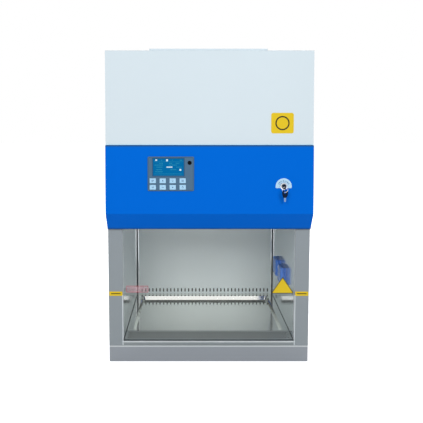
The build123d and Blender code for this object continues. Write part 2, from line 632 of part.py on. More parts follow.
RING_PROUD, BODY_DEPTH, BARREL_LEN = 9.0, 24.0, 22.0
with BuildPart() as switch_body:
    with BuildSketch(HOOD_FACE):
        with Locations(SWITCH_C):
            Circle(SWITCH_RING_R)
    extrude(amount=RING_PROUD)
    chamfer(switch_body.edges().filter_by(GeomType.CIRCLE).sort_by(Axis.Y)[:1], length=2, length2=1.2)
    with BuildSketch(HOOD_FACE):
        with Locations(SWITCH_C):
            Circle(SWITCH_BODY_R)
    extrude(amount=-BODY_DEPTH)
    with BuildSketch(HOOD_FACE.offset(RING_PROUD)):
        with Locations(SWITCH_C):
            Circle(BARREL_R + BARREL_PLAY)
    extrude(amount=-BODY_DEPTH, mode=Mode.SUBTRACT)
save(switch_body, "switch_body")

SLOT_W, SLOT_H, SLOT_DEPTH = 2.4, 8.4, 20.6
with BuildPart() as switch_barrel:
    with BuildSketch(HOOD_FACE.offset(RING_PROUD - 1)):
        with Locations(SWITCH_C):
            Circle(BARREL_R)
    extrude(amount=-BARREL_LEN)
    with BuildSketch(HOOD_FACE.offset(RING_PROUD - 1)):
        with Locations(SWITCH_C):
            Rectangle(SLOT_W, SLOT_H)
    extrude(amount=-SLOT_DEPTH, mode=Mode.SUBTRACT)
save(switch_barrel, "switch_barrel")

# The key: a steel blade in the barrel's slot and a moulded bow with the ring's hole.
BOW_T, BOW_W, BOW_LEN, HOLE_R = 2.4, 18.0, 24.0, 4.2
BLADE_W, KEY_BLADE_T = 8.0, 2.0
switch_centre = HOOD_FACE.from_local_coords((SWITCH_C[0], SWITCH_C[1], 0))
key_plane = Plane(origin=switch_centre, x_dir=HOOD_FACE.z_dir, z_dir=(1, 0, 0))
BOW_START, HOLE_OUT = RING_PROUD + 2.0, RING_PROUD + 2.0 + 18.0
with BuildPart() as inserted_key:
    with BuildSketch(key_plane.offset(-KEY_BLADE_T / 2)):
        with Locations((BOW_START - 10, 0)):
            Rectangle(26, BLADE_W)
    extrude(amount=KEY_BLADE_T)
    with BuildSketch(key_plane.offset(-BOW_T / 2)) as bow:
        outline(
            (BOW_START, -6), (BOW_START, 6), (BOW_START + 6, BOW_W / 2), (BOW_START + BOW_LEN, BOW_W / 2),
            (BOW_START + BOW_LEN, -BOW_W / 2), (BOW_START + 6, -BOW_W / 2),
        )
        fillet(bow.vertices(), radius=2.5)
    extrude(amount=BOW_T)
    with BuildSketch(key_plane.offset(-BOW_T / 2)):
        with Locations((HOLE_OUT, 0)):
            Circle(HOLE_R)
    extrude(amount=BOW_T, mode=Mode.SUBTRACT)
save(inserted_key, "inserted_key")

# A ring through the key's hole, turned a little, carries the spare key.
LOOP_R, WIRE_R, LOOP_TURN, SPARE_TURN = 9.0, 0.7, 12.0, 25.0
LOOP_TOP = key_plane.from_local_coords((HOLE_OUT, 0, 0))
loop_dir = Vector(math.cos(math.radians(LOOP_TURN)), -math.sin(math.radians(LOOP_TURN)), 0)
loop_normal = Vector(0, 0, 1).cross(loop_dir)
loop_centre = LOOP_TOP - Vector(0, 0, LOOP_R)
with BuildPart() as key_ring:
    with BuildSketch(Plane(origin=LOOP_TOP, x_dir=(0, 0, 1), z_dir=loop_dir)):
        RegularPolygon(WIRE_R, 8)
    revolve(axis=Axis(loop_centre, loop_normal))
save(key_ring, "key_ring")

spare_hole = loop_centre - Vector(0, 0, LOOP_R)
turn = math.radians(SPARE_TURN)
spare_plane = Plane(
    origin=spare_hole, x_dir=(math.cos(turn), math.sin(turn), 0), z_dir=(math.sin(turn), -math.cos(turn), 0)
).offset(-BOW_T / 2)
SPARE_BOW = ((-7, 5), (7, 5), (9, 1), (7, -10), (3, -18), (-3, -18), (-7, -10), (-9, 1))
SPARE_BLADE = ((-4, -12), (4, -12), (4, -28), (1.5, -32), (-2, -32), (-4, -29))
with BuildPart() as spare_key:
    with BuildSketch(spare_plane) as spare_bow:
        outline(*SPARE_BOW)
        fillet(spare_bow.vertices(), radius=1.2)
        Circle(HOLE_R, mode=Mode.SUBTRACT)
    extrude(amount=BOW_T)
    with BuildSketch(spare_plane.offset((BOW_T - KEY_BLADE_T) / 2)):
        outline(*SPARE_BLADE)
    extrude(amount=KEY_BLADE_T)
save(spare_key, "spare_key")

# ---- sockets ------------------------------------------------------------------------

HINGE_X = OPENING_HALF - SOCKET_BASE_T - 4.5
HINGE_Z = SOCKET_Z + SOCKET_H / 2 - 3
PIN_R, PIN_PLAY, LUG_R, LUG_W, LUG_IN = 1.5, 0.05, 2.6, 4.0, 25.0
LID_X = (OPENING_HALF - SOCKET_BASE_T - 1.2, OPENING_HALF - SOCKET_DEPTH)
LID_REACH = 2.2               # how far the lid stands above the hinge's axis
CONTACTS = ((-7, 10, 2.4, 7), (7, 10, 2.4, 7), (0, -5, 2.4, 8), (-8, -15, 6, 2.4), (8, -15, 6, 2.4))
with BuildPart() as socket_bases:
    for centre in SOCKET_YS.values():
        block(
            (OPENING_HALF - SOCKET_BASE_T, OPENING_HALF), (centre - SOCKET_W / 2, centre + SOCKET_W / 2),
            (SOCKET_Z - SOCKET_H / 2, SOCKET_Z + SOCKET_H / 2),
        )
        for dy, dz, w, h in CONTACTS:
            contact_y = (centre + dy - w / 2, centre + dy + w / 2)
            contact_z = (SOCKET_Z + dz - h / 2, SOCKET_Z + dz + h / 2)
            contact_x = (OPENING_HALF - SOCKET_BASE_T, OPENING_HALF - 2)
            block(contact_x, contact_y, contact_z, mode=Mode.SUBTRACT)
        for side in (-1, 1):
            lug = sorted((centre + side * LUG_IN, centre + side * (LUG_IN + LUG_W)))
            with BuildSketch(Plane.XZ.offset(-lug[1])):
                with Locations((HINGE_X, HINGE_Z)):
                    Circle(LUG_R)
                with Locations(((HINGE_X + OPENING_HALF - SOCKET_BASE_T) / 2, HINGE_Z)):
                    Rectangle(OPENING_HALF - SOCKET_BASE_T - HINGE_X, 2 * LUG_R)
                with Locations((HINGE_X, HINGE_Z)):
                    Circle(PIN_R + PIN_PLAY, mode=Mode.SUBTRACT)
            extrude(amount=LUG_W)
save(socket_bases, "socket_bases")

LID_TOP = HINGE_Z + LID_REACH
LID_WALL = 1.5
LUG_ROOM = 1.0                # free width each side of a lug
for where, centre in SOCKET_YS.items():
    with BuildPart() as lid:
        lid_half = SOCKET_W / 2 - 1
        block(LID_X, (centre - lid_half, centre + lid_half), (SOCKET_Z - SOCKET_H / 2 + 1, LID_TOP))
        chamfer(lid.faces().sort_by(Axis.X)[0].edges(), length=2.5)
        offset(amount=-LID_WALL, openings=lid.faces().sort_by(Axis.X)[-1])
        for side in (-1, 1):
            middle = centre + side * (LUG_IN + LUG_W / 2)
            half = LUG_W / 2 + LUG_ROOM
            block(
                (LID_X[1], LID_X[0] + 1), (middle - half, middle + half), (HINGE_Z - LUG_R - 2, LID_TOP),
                mode=Mode.SUBTRACT,
            )
        with Locations((HINGE_X, centre, HINGE_Z)):
            Cylinder(PIN_R, 2 * (LUG_IN + LUG_W), rotation=(90, 0, 0))
        knuckle_half = LUG_IN - 1
        knuckle_y = (centre - knuckle_half, centre + knuckle_half)
        block((HINGE_X - 1.2, HINGE_X + 1.2), knuckle_y, (HINGE_Z, LID_TOP))
    save(lid, f"{where}_socket_lid")
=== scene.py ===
# %% [markdown]
# # A bench-top biosafety cabinet
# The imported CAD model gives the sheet-metal casing, the glass sash, the work chamber, the
# controls and everything that moves. This script dresses it: finishes for every node, and
# finer pieces where sheet is perforated, moulded or printed. All sizes are in metres.

# %% Load the frame
import math

import bmesh
import bpy
from mathutils import Matrix, Vector


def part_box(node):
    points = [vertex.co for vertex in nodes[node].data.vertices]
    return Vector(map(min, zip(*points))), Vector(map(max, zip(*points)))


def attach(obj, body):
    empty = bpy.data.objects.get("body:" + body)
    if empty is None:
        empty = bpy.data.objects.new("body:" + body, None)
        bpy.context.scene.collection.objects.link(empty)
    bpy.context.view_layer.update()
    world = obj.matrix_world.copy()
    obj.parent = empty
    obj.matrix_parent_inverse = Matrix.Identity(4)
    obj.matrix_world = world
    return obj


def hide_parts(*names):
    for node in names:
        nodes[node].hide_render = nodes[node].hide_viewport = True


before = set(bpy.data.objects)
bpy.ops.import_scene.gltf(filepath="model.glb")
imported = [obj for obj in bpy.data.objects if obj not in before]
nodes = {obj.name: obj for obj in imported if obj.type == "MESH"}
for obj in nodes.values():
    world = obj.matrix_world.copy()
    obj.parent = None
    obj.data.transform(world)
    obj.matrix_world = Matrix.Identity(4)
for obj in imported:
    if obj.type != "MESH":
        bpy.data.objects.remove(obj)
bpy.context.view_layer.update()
MM = 0.001

# %% [markdown]
# ## The camera
# A level camera with a shifted lens keeps the upright edges of tall equipment upright. Part of
# that is kept here: a small tilt and a small shift hold the object in the frame from every side.

# %% Camera
IMAGE = 423                             # the render is square, in pixels
LENS_ROW, LENS_COLUMN = 160.7, 190.3    # where the lens's own axis meets it
FOCAL_PIXELS = 546.2
SENSOR = 36.0
PITCH = math.radians(4.66)
CAMERA_PLACE = (-0.0647, -2.1667, 0.8639)
camera_data = bpy.data.cameras.new("camera")
camera_data.sensor_width = SENSOR
camera_data.lens = FOCAL_PIXELS / IMAGE * SENSOR
camera_data.shift_x = (IMAGE / 2 - LENS_COLUMN) / IMAGE
camera_data.shift_y = (LENS_ROW - IMAGE / 2) / IMAGE
camera = bpy.data.objects.new("camera", camera_data)
bpy.context.scene.collection.objects.link(camera)
camera.location = CAMERA_PLACE
camera.rotation_euler = (math.radians(90) - PITCH, 0, 0)
bpy.context.scene.camera = camera
print(f"lens {camera_data.lens:.2f} shift {camera_data.shift_x:.3f} {camera_data.shift_y:.3f}")

# %% [markdown]
# ## Light, floor and background
# A soft white room: the world lights everything evenly, two area lamps in front add a little
# direction, and two at the back light the sides and the rear. The floor and the background read
# as plain white to the camera and in reflections, and the floor still takes a soft shadow.

# %% World
scene = bpy.context.scene
scene.view_settings.view_transform = "Standard"
world = bpy.data.worlds.new("studio")
scene.world = world
world.use_nodes = True
tree = world.node_tree
tree.nodes.clear()


def link(tree, a, b):
    """Joins one node's output socket to another's input."""
    tree.links.new(a, b)


def add(tree, kind, **settings):
    """A new shader node with its settings and its plain input values."""
    node = tree.nodes.new(kind)
    for name, value in settings.items():
        if name in node.inputs:
            node.inputs[name].default_value = value
        else:
            setattr(node, name, value)
    return node


def seen_directly(tree):
    """One for camera, glossy and transmission rays, zero for the light that shades surfaces."""
    path = add(tree, "ShaderNodeLightPath")
    total = add(tree, "ShaderNodeMath", operation="ADD")
    link(tree, path.outputs["Is Camera Ray"], total.inputs[0])
    link(tree, path.outputs["Is Glossy Ray"], total.inputs[1])
    most = add(tree, "ShaderNodeMath", operation="ADD", use_clamp=True)
    link(tree, total.outputs[0], most.inputs[0])
    link(tree, path.outputs["Is Transmission Ray"], most.inputs[1])
    return most.outputs[0]


AMBIENT, ROOM_WHITE = 0.33, (0.97, 0.98, 1.0, 1)
out = add(tree, "ShaderNodeOutputWorld")
plain = add(tree, "ShaderNodeBackground", Strength=AMBIENT)
plain.inputs["Color"].default_value = ROOM_WHITE
white = add(tree, "ShaderNodeBackground", Strength=1.0)
white.inputs["Color"].default_value = (1, 1, 1, 1)
choose = add(tree, "ShaderNodeMixShader")
link(tree, seen_directly(tree), choose.inputs[0])
link(tree, plain.outputs[0], choose.inputs[1])
link(tree, white.outputs[0], choose.inputs[2])
link(tree, choose.outputs[0], out.inputs["Surface"])
print("world strength", AMBIENT)


# %% Lamps
def area_lamp(name, place, aim, size, watts):
    """A square soft box that shines from one point towards another, and shows in no mirror."""
    data = bpy.data.lights.new(name, "AREA")
    data.size = size
    data.energy = watts
    lamp = bpy.data.objects.new(name, data)
    scene.collection.objects.link(lamp)
    lamp.visible_glossy = False
    lamp.visible_transmission = False
    lamp.location = place
    lamp.rotation_euler = (Vector(aim) - Vector(place)).to_track_quat("-Z", "Y").to_euler()
    print(name, watts, "W")


area_lamp("key_lamp", (0.8, -3.1, 1.9), (0, -0.1, 0.45), 1.0, 36)
area_lamp("fill_lamp", (-0.9, -3.1, 1.8), (0, -0.1, 0.4), 1.0, 32.5)
for side in (-1, 1):
    area_lamp(f"rear_lamp_{side}", (side * 2.4, 1.9, 2.2), (0, 0, 0.55), 1.4, 58)

# %% Floor
FLOOR_SIZE, FLOOR_GLOW = 30, 0.76
bpy.ops.mesh.primitive_plane_add(size=FLOOR_SIZE)
floor = bpy.context.object
floor.name = "floor"
floor_material = bpy.data.materials.new("floor_white")
floor_material.use_nodes = True
tree = floor_material.node_tree
tree.nodes.clear()
out = add(tree, "ShaderNodeOutputMaterial")
matte = add(tree, "ShaderNodeBsdfDiffuse", Color=(0.9, 0.9, 0.9, 1))
bounce = add(tree, "ShaderNodeBsdfDiffuse", Color=(0.5, 0.5, 0.5, 1))
bright = add(tree, "ShaderNodeEmission", Color=(1, 1, 1, 1), Strength=FLOOR_GLOW)
both = add(tree, "ShaderNodeAddShader")
choose = add(tree, "ShaderNodeMixShader")
link(tree, matte.outputs[0], both.inputs[0])
link(tree, bright.outputs[0], both.inputs[1])
link(tree, seen_directly(tree), choose.inputs[0])
link(tree, bounce.outputs[0], choose.inputs[1])
link(tree, both.outputs[0], choose.inputs[2])
link(tree, choose.outputs[0], out.inputs["Surface"])
floor.data.materials.append(floor_material)
print("floor", FLOOR_SIZE, "m wide")

# %% [markdown]
# ## Shared surface effects
# Sheet metal is never perfectly even. Two small node groups are used by most finishes: one
# gives the fine dimples of powder coat, the other the long scratches of brushed steel. Each
# puts out values only, and the shader stays in the material.


# %% Node group helpers
def srgb(r, g, b):
    """A colour written as on a screen, 0 to 255, in the linear values that shaders take."""
    def linear(c):
        c = c / 255
        return c / 12.92 if c <= 0.04045 else ((c + 0.055) / 1.055) ** 2.4
    return (linear(r), linear(g), linear(b), 1)


def new_group(name, inputs, outputs):
    """An empty shader node group with named number inputs and named outputs."""
    group = bpy.data.node_groups.new(name, "ShaderNodeTree")
    for socket, kind, value in inputs:
        item = group.interface.new_socket(socket, in_out="INPUT", socket_type=kind)
        item.default_value = value
    for socket, kind in outputs:
        group.interface.new_socket(socket, in_out="OUTPUT", socket_type=kind)
    return group, add(group, "NodeGroupInput"), add(group, "NodeGroupOutput")


def maths(tree, operation, *values):
    """The result of a math node, whose inputs are sockets or plain numbers."""
    node = add(tree, "ShaderNodeMath", operation=operation)
    for socket, value in zip(node.inputs, values):
        if isinstance(value, (int, float)):
            socket.default_value = value
        else:
            link(tree, value, socket)
    return node.outputs[0]


def varied(tree, gin, gout, change, rough_share, tint_share):
    """Moves the group's roughness and colour by a change round zero, times its Variation."""
    spread = maths(tree, "MULTIPLY", change, gin.outputs["Variation"])
    rough = maths(tree, "MULTIPLY_ADD", spread, rough_share, gin.outputs["Roughness"])
    level = maths(tree, "MULTIPLY_ADD", spread, tint_share, 1.0)
    tint = add(tree, "ShaderNodeVectorMath", operation="SCALE")
    link(tree, gin.outputs["Color"], tint.inputs[0])
    link(tree, level, tint.inputs["Scale"])
    link(tree, rough, gout.inputs["Roughness"])
    link(tree, tint.outputs[0], gout.inputs["Color"])


NUMBER, COLOR = "NodeSocketFloat", "NodeSocketColor"
OUTPUTS = [("Color", COLOR), ("Roughness", NUMBER), ("Height", NUMBER)]

# %% Powder coat
# Fine dimples, and a broad cloudiness in the colour and the gloss.
powder_group, gin, gout = new_group(
    "powder_coat",
    [("Color", COLOR, (1, 1, 1, 1)), ("Roughness", NUMBER, 0.4), ("Variation", NUMBER, 0.04),
     ("Grain Scale", NUMBER, 900.0)],
    OUTPUTS,
)
coords = add(powder_group, "ShaderNodeTexCoord")
grain = add(powder_group, "ShaderNodeTexNoise", Detail=2.0)
cloud = add(powder_group, "ShaderNodeTexNoise", Scale=5.0, Detail=3.0)
link(powder_group, coords.outputs["Object"], grain.inputs["Vector"])
link(powder_group, coords.outputs["Object"], cloud.inputs["Vector"])
link(powder_group, gin.outputs["Grain Scale"], grain.inputs["Scale"])
link(powder_group, grain.outputs["Fac"], gout.inputs["Height"])
MEAN_NOISE = 0.5
centred = maths(powder_group, "SUBTRACT", cloud.outputs["Fac"], MEAN_NOISE)
varied(powder_group, gin, gout, centred, rough_share=4.0, tint_share=1.0)
print(powder_group.name, len(powder_group.nodes), "nodes")

# %% Brushed steel
# Noise stretched along one axis, as long fine scratches, over broad smudges.
brushed_group, gin, gout = new_group(
    "brushed_sheet",
    [("Color", COLOR, (0.6, 0.6, 0.6, 1)), ("Roughness", NUMBER, 0.3), ("Variation", NUMBER, 0.2),
     ("Along X", NUMBER, 1.0), ("Along Y", NUMBER, 40.0), ("Along Z", NUMBER, 40.0)],
    OUTPUTS,
)
coords = add(brushed_group, "ShaderNodeTexCoord")
stretch = add(brushed_group, "ShaderNodeCombineXYZ")
for axis in "XYZ":
    link(brushed_group, gin.outputs[f"Along {axis}"], stretch.inputs[axis])
scaled = add(brushed_group, "ShaderNodeVectorMath", operation="MULTIPLY")
link(brushed_group, coords.outputs["Object"], scaled.inputs[0])
link(brushed_group, stretch.outputs[0], scaled.inputs[1])
scratches = add(brushed_group, "ShaderNodeTexNoise", Scale=20.0, Detail=4.0, Roughness=0.65)
link(brushed_group, scaled.outputs[0], scratches.inputs["Vector"])
smudges = add(brushed_group, "ShaderNodeTexNoise", Scale=6.0, Detail=3.0)
link(brushed_group, coords.outputs["Object"], smudges.inputs["Vector"])
SMUDGE_SHARE = 0.5
mixed = maths(brushed_group, "MULTIPLY_ADD", smudges.outputs["Fac"], SMUDGE_SHARE, scratches.outputs["Fac"])
centred = maths(brushed_group, "SUBTRACT", mixed, MEAN_NOISE * (1 + SMUDGE_SHARE))
varied(brushed_group, gin, gout, centred, rough_share=1.0, tint_share=0.5)
link(brushed_group, scratches.outputs["Fac"], gout.inputs["Height"])
print(brushed_group.name, len(brushed_group.nodes), "nodes")

# %% [markdown]
# ## Finishes
# A finish is a Principled shader fed by one of the groups. Numbers that are the same all
# over, such as the coat or the metal value, are set on the shader itself.


# %% Finish helpers
BUMP_DEPTH = 0.0001


def finish(name, group, color, roughness, bump=0.0, group_values=None, **shader_values):
    """A material: a node group gives colour, roughness and fine relief to a Principled shader."""
    material = bpy.data.materials.new(name)
    material.use_nodes = True
    tree = material.node_tree
    tree.nodes.clear()
    out = add(tree, "ShaderNodeOutputMaterial")
    shader = add(tree, "ShaderNodeBsdfPrincipled", **shader_values)
    effect = add(tree, "ShaderNodeGroup", node_tree=group)
    effect.inputs["Color"].default_value = color
    effect.inputs["Roughness"].default_value = roughness
    for socket, value in (group_values or {}).items():
        effect.inputs[socket].default_value = value
    link(tree, effect.outputs["Color"], shader.inputs["Base Color"])
    link(tree, effect.outputs["Roughness"], shader.inputs["Roughness"])
    if bump:
        relief = add(tree, "ShaderNodeBump", Strength=bump, Distance=BUMP_DEPTH)
        link(tree, effect.outputs["Height"], relief.inputs["Height"])
        link(tree, relief.outputs[0], shader.inputs["Normal"])
    link(tree, shader.outputs[0], out.inputs["Surface"])
    return material


def brushed(along):
    """Stretch values for scratches that run along one axis."""
    return {f"Along {axis}": 1.0 if axis == along else 40.0 for axis in "XYZ"}


def painted(name, color, roughness, bump=0.0, **shader_values):
    """Paint, plastic, paper, ink or plating: anything without a grain that runs one way."""
    return finish(name, powder_group, srgb(*color), roughness, bump, **shader_values)


def steel(name, color, roughness, along, metallic, bump=0.0):
    """Brushed sheet whose scratches run along one axis."""
    values = brushed(along)
    return finish(name, brushed_group, srgb(*color), roughness, bump, values, Metallic=metallic)


MATT, DULL, LOW_GLOSS = ({"Specular IOR Level": level} for level in (0.05, 0.1, 0.2))

# %% Paint
white_paint = painted("white_powder_coat", (214, 227, 234), 0.4, 0.12)
white_paint_back = painted("white_powder_coat_side", (212, 222, 228), 0.42, 0.15)
grey_paint = painted("grey_powder_coat", (140, 148, 153), 0.42, 0.12)
base_paint = painted("grey_powder_coat_base", (147, 153, 160), 0.42, 0.12)
# A light grey for the painted highlight on the base's top fold.
fold_highlight_paint = painted("grey_fold_painted_highlight", (203, 209, 212), 0.42)
blue_paint = painted("blue_powder_coat", (0, 105, 216), 0.42, 0.12, **MATT)
motor_paint = painted("motor_enamel", (40, 42, 45), 0.4, 0.2)
# A near-black for the painted shade behind the back wall's slots.
duct_painted_shade = painted("duct_painted_shade", (8, 10, 12), 0.9, **MATT)

# %% Steel and other metal
steel_x = steel("stainless_brushed_across", (244, 245, 240), 0.1, "X", 0.9, 0.02)
steel_y = steel("stainless_brushed_in_depth", (212, 219, 224), 0.12, "Y", 0.7, 0.02)
steel_z = steel("stainless_satin_upright", (240, 249, 248), 0.45, "Z", 0.15, 0.03)
dark_steel = steel("stainless_dull", (122, 129, 131), 0.4, "X", 0.5, 0.04)
bright_steel = steel("stainless_polished", (228, 232, 233), 0.18, "X", 0.8)
bead_steel = steel("stainless_bead", (184, 190, 192), 0.25, "X", 0.7)
# A light steel for the painted highlight on the posts' rounded inner bends.
lip_highlight_steel = steel("stainless_lip_painted_highlight", (196, 204, 207), 0.3, "Z", 0.2)
# A dark steel for the coves: painted shade, standing in for the dark reflection in the concave corners.
cove_shade_steel = steel("stainless_cove_painted_shade", (50, 60, 64), 0.35, "Z", 0.4)
# Painted shade: the drain pan under the grille is a dark steel so that the grille's holes look dark.
pan_shade_steel = steel("stainless_shaded", (40, 44, 46), 0.5, "X", 0.3)
grille_steel = steel("stainless_punched", (190, 196, 194), 0.35, "X", 0.4, 0.04)
ceiling_steel = steel("stainless_ceiling", (92, 98, 100), 0.4, "X", 0.4)
aluminium = steel("extruded_aluminium", (226, 231, 234), 0.35, "Z", 0.1, 0.04)
scale_plate = steel("scale_plate_silver", (180, 216, 242), 0.3, "X", 0.3)
SPANGLE = {f"Along {axis}": 2.0 for axis in "XYZ"}
galvanised = finish("galvanised_sheet", brushed_group, srgb(176, 182, 186), 0.42, 0.08, SPANGLE, Metallic=1.0)
EVEN = {"Variation": 0.01}
chrome = finish("chrome_plate", powder_group, srgb(226, 228, 230), 0.08, 0.0, EVEN, Metallic=1.0)
key_steel = painted("key_steel", (120, 146, 184), 0.3, Metallic=0.8)
cast_steel = painted("weight_steel", (84, 86, 88), 0.6, 0.4, Metallic=0.7)

# %% Plastic, rubber and paper
black_plastic = painted("black_moulding", (20, 22, 25), 0.35, 0.1)
key_black = painted("key_moulding_black", (8, 24, 48), 0.45, 0.1, **DULL)
receiver_black = painted("receiver_window", (4, 8, 14), 0.4, **MATT)
white_plastic = painted("white_moulding", (226, 228, 226), 0.35, 0.05)
socket_blue = painted("socket_blue_moulding", (70, 122, 215), 0.35, 0.05)
bezel_plastic = painted("bezel_grey_blue", (80, 110, 136), 0.45, 0.08, **LOW_GLOSS)
key_plastic = painted("key_pale_blue", (175, 218, 247), 0.36, 0.04, **LOW_GLOSS)
rim_plastic = painted("display_rim_dark", (52, 88, 122), 0.4, **LOW_GLOSS)
lamp_cover = painted("lamp_opal", (240, 243, 245), 0.3, 0.04)
# A very pale blue-white for the painted highlight over the hood.
seam_painted_highlight = painted("seam_painted_highlight_pale", (206, 238, 252), 0.6)
paper = painted("filter_paper", (238, 237, 228), 0.9, 0.3)

# %% Display, inks and label film
display_face = painted("display_teal", (0, 107, 166), 0.3, **MATT)
icon_light = painted("display_white", (214, 240, 250), 0.3, **LOW_GLOSS)
figure_light = painted("display_cyan", (44, 146, 178), 0.4, **MATT)
mark_ink = painted("mark_ink_blue_grey", (74, 104, 150), 0.5, **LOW_GLOSS)
yellow_film = painted("label_film_yellow", (228, 196, 40), 0.4, **LOW_GLOSS)
# Black ink for the printed labels, also used as painted shade in the screws' cross slots.
ink_and_slot_shade = painted("ink_black_and_slot_shade", (44, 44, 32), 0.5, **LOW_GLOSS)
label_red = painted("label_line_red", (206, 96, 112), 0.5, **LOW_GLOSS)
label_pink = painted("label_rows_pink", (214, 168, 178), 0.5, **LOW_GLOSS)
guard_ink = painted("fixing_grey", (120, 130, 138), 0.5)
print("materials so far", len(bpy.data.materials))


# %% Clear parts
def clear(name, color, roughness, passes=1.0, ior=1.45, **shader_values):
    """Glass or clear plastic: plain transmission with an even tint."""
    material = bpy.data.materials.new(name)
    material.use_nodes = True
    shader = material.node_tree.nodes["Principled BSDF"]
    shader.inputs["Base Color"].default_value = color
    shader.inputs["Roughness"].default_value = roughness
    shader.inputs["Transmission Weight"].default_value = passes
    shader.inputs["IOR"].default_value = ior
    for socket, value in shader_values.items():
        shader.inputs[socket].default_value = value
    return material


def thin_film(name, color, roughness, least, most):
    """Clear sheet: mostly see-through from the front, and more of a mirror at a slant."""
    material = clear(name, color, roughness, ior=1.01, **{"Coat Weight": 1.0, "Coat Roughness": 0.02})
    tree = material.node_tree
    slant = add(tree, "ShaderNodeLayerWeight", Blend=0.35)
    opacity = add(tree, "ShaderNodeMapRange")
    opacity.inputs["To Min"].default_value = least
    opacity.inputs["To Max"].default_value = most
    link(tree, slant.outputs["Fresnel"], opacity.inputs["Value"])
    link(tree, opacity.outputs[0], tree.nodes["Principled BSDF"].inputs["Alpha"])
    return material


glass = thin_film("sash_glass", srgb(240, 247, 247), 0.0, 0.03, 0.9)
uv_tube = clear("uv_tube", srgb(235, 240, 248), 0.02)
blue_clear = clear("clear_blue_cover", srgb(92, 146, 240), 0.25, passes=0.05)
label_film = thin_film("label_film", srgb(250, 206, 216), 0.2, 0.45, 0.9)
print("materials", len(bpy.data.materials))

# %% Hood coat with painted shade
# Painted shade: the hood's coat is darkened in a band at its top and foot edges, where the folded sheet turns
# away from the light.
HOOD_TOP_Z, HOOD_FOOT_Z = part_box("control_hood")[1][2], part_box("control_hood")[0][2]
PAINTED_SHADE_BAND = 0.008
MIX_A, MIX_B, MIX_RESULT = 6, 7, 2      # a Mix node's colour sockets, which share their names
tree = blue_paint.node_tree
shader = next(n for n in tree.nodes if n.type == "BSDF_PRINCIPLED")
coat = shader.inputs["Base Color"].links[0].from_socket
coords = add(tree, "ShaderNodeTexCoord")
height = add(tree, "ShaderNodeSeparateXYZ")
link(tree, coords.outputs["Object"], height.inputs[0])
# Each band mixes a darker blue into the coat towards the edge: painted shade.
for edge_z, inner_z, shade in (
    (HOOD_TOP_Z, HOOD_TOP_Z - PAINTED_SHADE_BAND, srgb(34, 88, 140)),
    (HOOD_FOOT_Z, HOOD_FOOT_Z + PAINTED_SHADE_BAND, srgb(26, 80, 144)),
):
    band = add(tree, "ShaderNodeMapRange")
    band.inputs["From Min"].default_value = inner_z
    band.inputs["From Max"].default_value = edge_z
    link(tree, height.outputs["Z"], band.inputs["Value"])
    painted_shade_mix = add(tree, "ShaderNodeMix", data_type="RGBA")
    link(tree, band.outputs[0], painted_shade_mix.inputs[0])
    link(tree, coat, painted_shade_mix.inputs[MIX_A])
    painted_shade_mix.inputs[MIX_B].default_value = shade
    coat = painted_shade_mix.outputs[MIX_RESULT]
link(tree, coat, shader.inputs["Base Color"])
print("hood coat from", round(HOOD_FOOT_Z, 4), "to", round(HOOD_TOP_Z, 4))

# %% Dress the CAD nodes
FINISHES = {
    base_paint: ["base_pan"],
    white_paint: ["upper_front_panel", "exhaust_guard", "top_panel"],
    white_paint_back: ["left_side_panel", "right_side_panel", "rear_panel"],
    blue_paint: ["control_hood"],
    grey_paint: ["left_post", "right_post"],
    steel_x: ["work_tray", "front_grille", "supply_diffuser"],
    steel_y: ["left_chamber_wall", "right_chamber_wall"],
    steel_z: ["back_chamber_wall"],
    dark_steel: ["front_sill"],
    pan_shade_steel: ["drain_pan"],
    aluminium: ["left_sash_guide", "right_sash_guide", "sash_clamps", "supply_filter_frame",
                "exhaust_filter_frame"],
    galvanised: ["plenum_box", "blower_housing", "blower_wheel", "pulley_brackets"],
    chrome: ["switch_body", "switch_barrel", "key_ring", "panel_screws", "sash_cables"],
    black_plastic: ["power_inlet", "inserted_key", "spare_key"],
    receiver_black: ["infrared_window"],
    white_plastic: ["lamp_holders", "left_pulley", "right_pulley"],
    scale_plate: ["switch_scale"],
    socket_blue: ["socket_bases"],
    cast_steel: ["left_counterweight", "right_counterweight"],
    motor_paint: ["blower_motor"],
    paper: ["filter_media"],
    bezel_plastic: ["control_bezel"],
    key_plastic: [f"key_{i}" for i in range(1, 9)],
    display_face: ["lcd_window"],
    lamp_cover: ["work_lamp"],
    glass: ["sash_glass"],
    uv_tube: ["uv_lamp"],
    blue_clear: ["front_socket_lid", "rear_socket_lid"],
}
for material, names in FINISHES.items():
    for name in names:
        piece = nodes[name].data
        piece.materials.clear()
        piece.materials.append(material)
undressed = sorted(set(nodes) - {name for names in FINISHES.values() for name in names})
print("undressed nodes", undressed)

# %% [markdown]
# ## Tools for the small pieces
# Every piece is built in millimetres on its own flat plane, facing up, and is then laid
# against a face of the object. Plates, spun parts and perforated sheet cover most of them.


# %% Placing
ROOT = "cabinet"


def box_mm(name):
    """A node's lowest and highest corners in millimetres."""
    low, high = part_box(name)
    return [v / MM for v in low], [v / MM for v in high]


def seat(origin, across=(1, 0, 0), up=(0, 0, 1)):
    """The matrix that lays a piece, built facing +Z, against a face of the object."""
    x, y = Vector(across).normalized(), Vector(up).normalized()
    matrix = Matrix((x, y, x.cross(y))).transposed().to_4x4()
    matrix.translation = Vector(origin)
    return matrix


def at(matrix, x, y, proud=0.0, turn=0.0):
    """A place on a seated plane: across, up, how far proud, and turned in degrees."""
    return matrix @ Matrix.Translation((x, y, proud)) @ Matrix.Rotation(math.radians(turn), 4, "Z")


def joined(parts):
    """Several small meshes as one."""
    whole = bmesh.new()
    for part in parts:
        mesh = bpy.data.meshes.new("part")
        part.to_mesh(mesh)
        part.free()
        whole.from_mesh(mesh)
        bpy.data.meshes.remove(mesh)
    return whole


def placed(bm, matrix):
    """The same mesh, moved."""
    bmesh.ops.transform(bm, matrix=matrix, verts=bm.verts)
    return bm


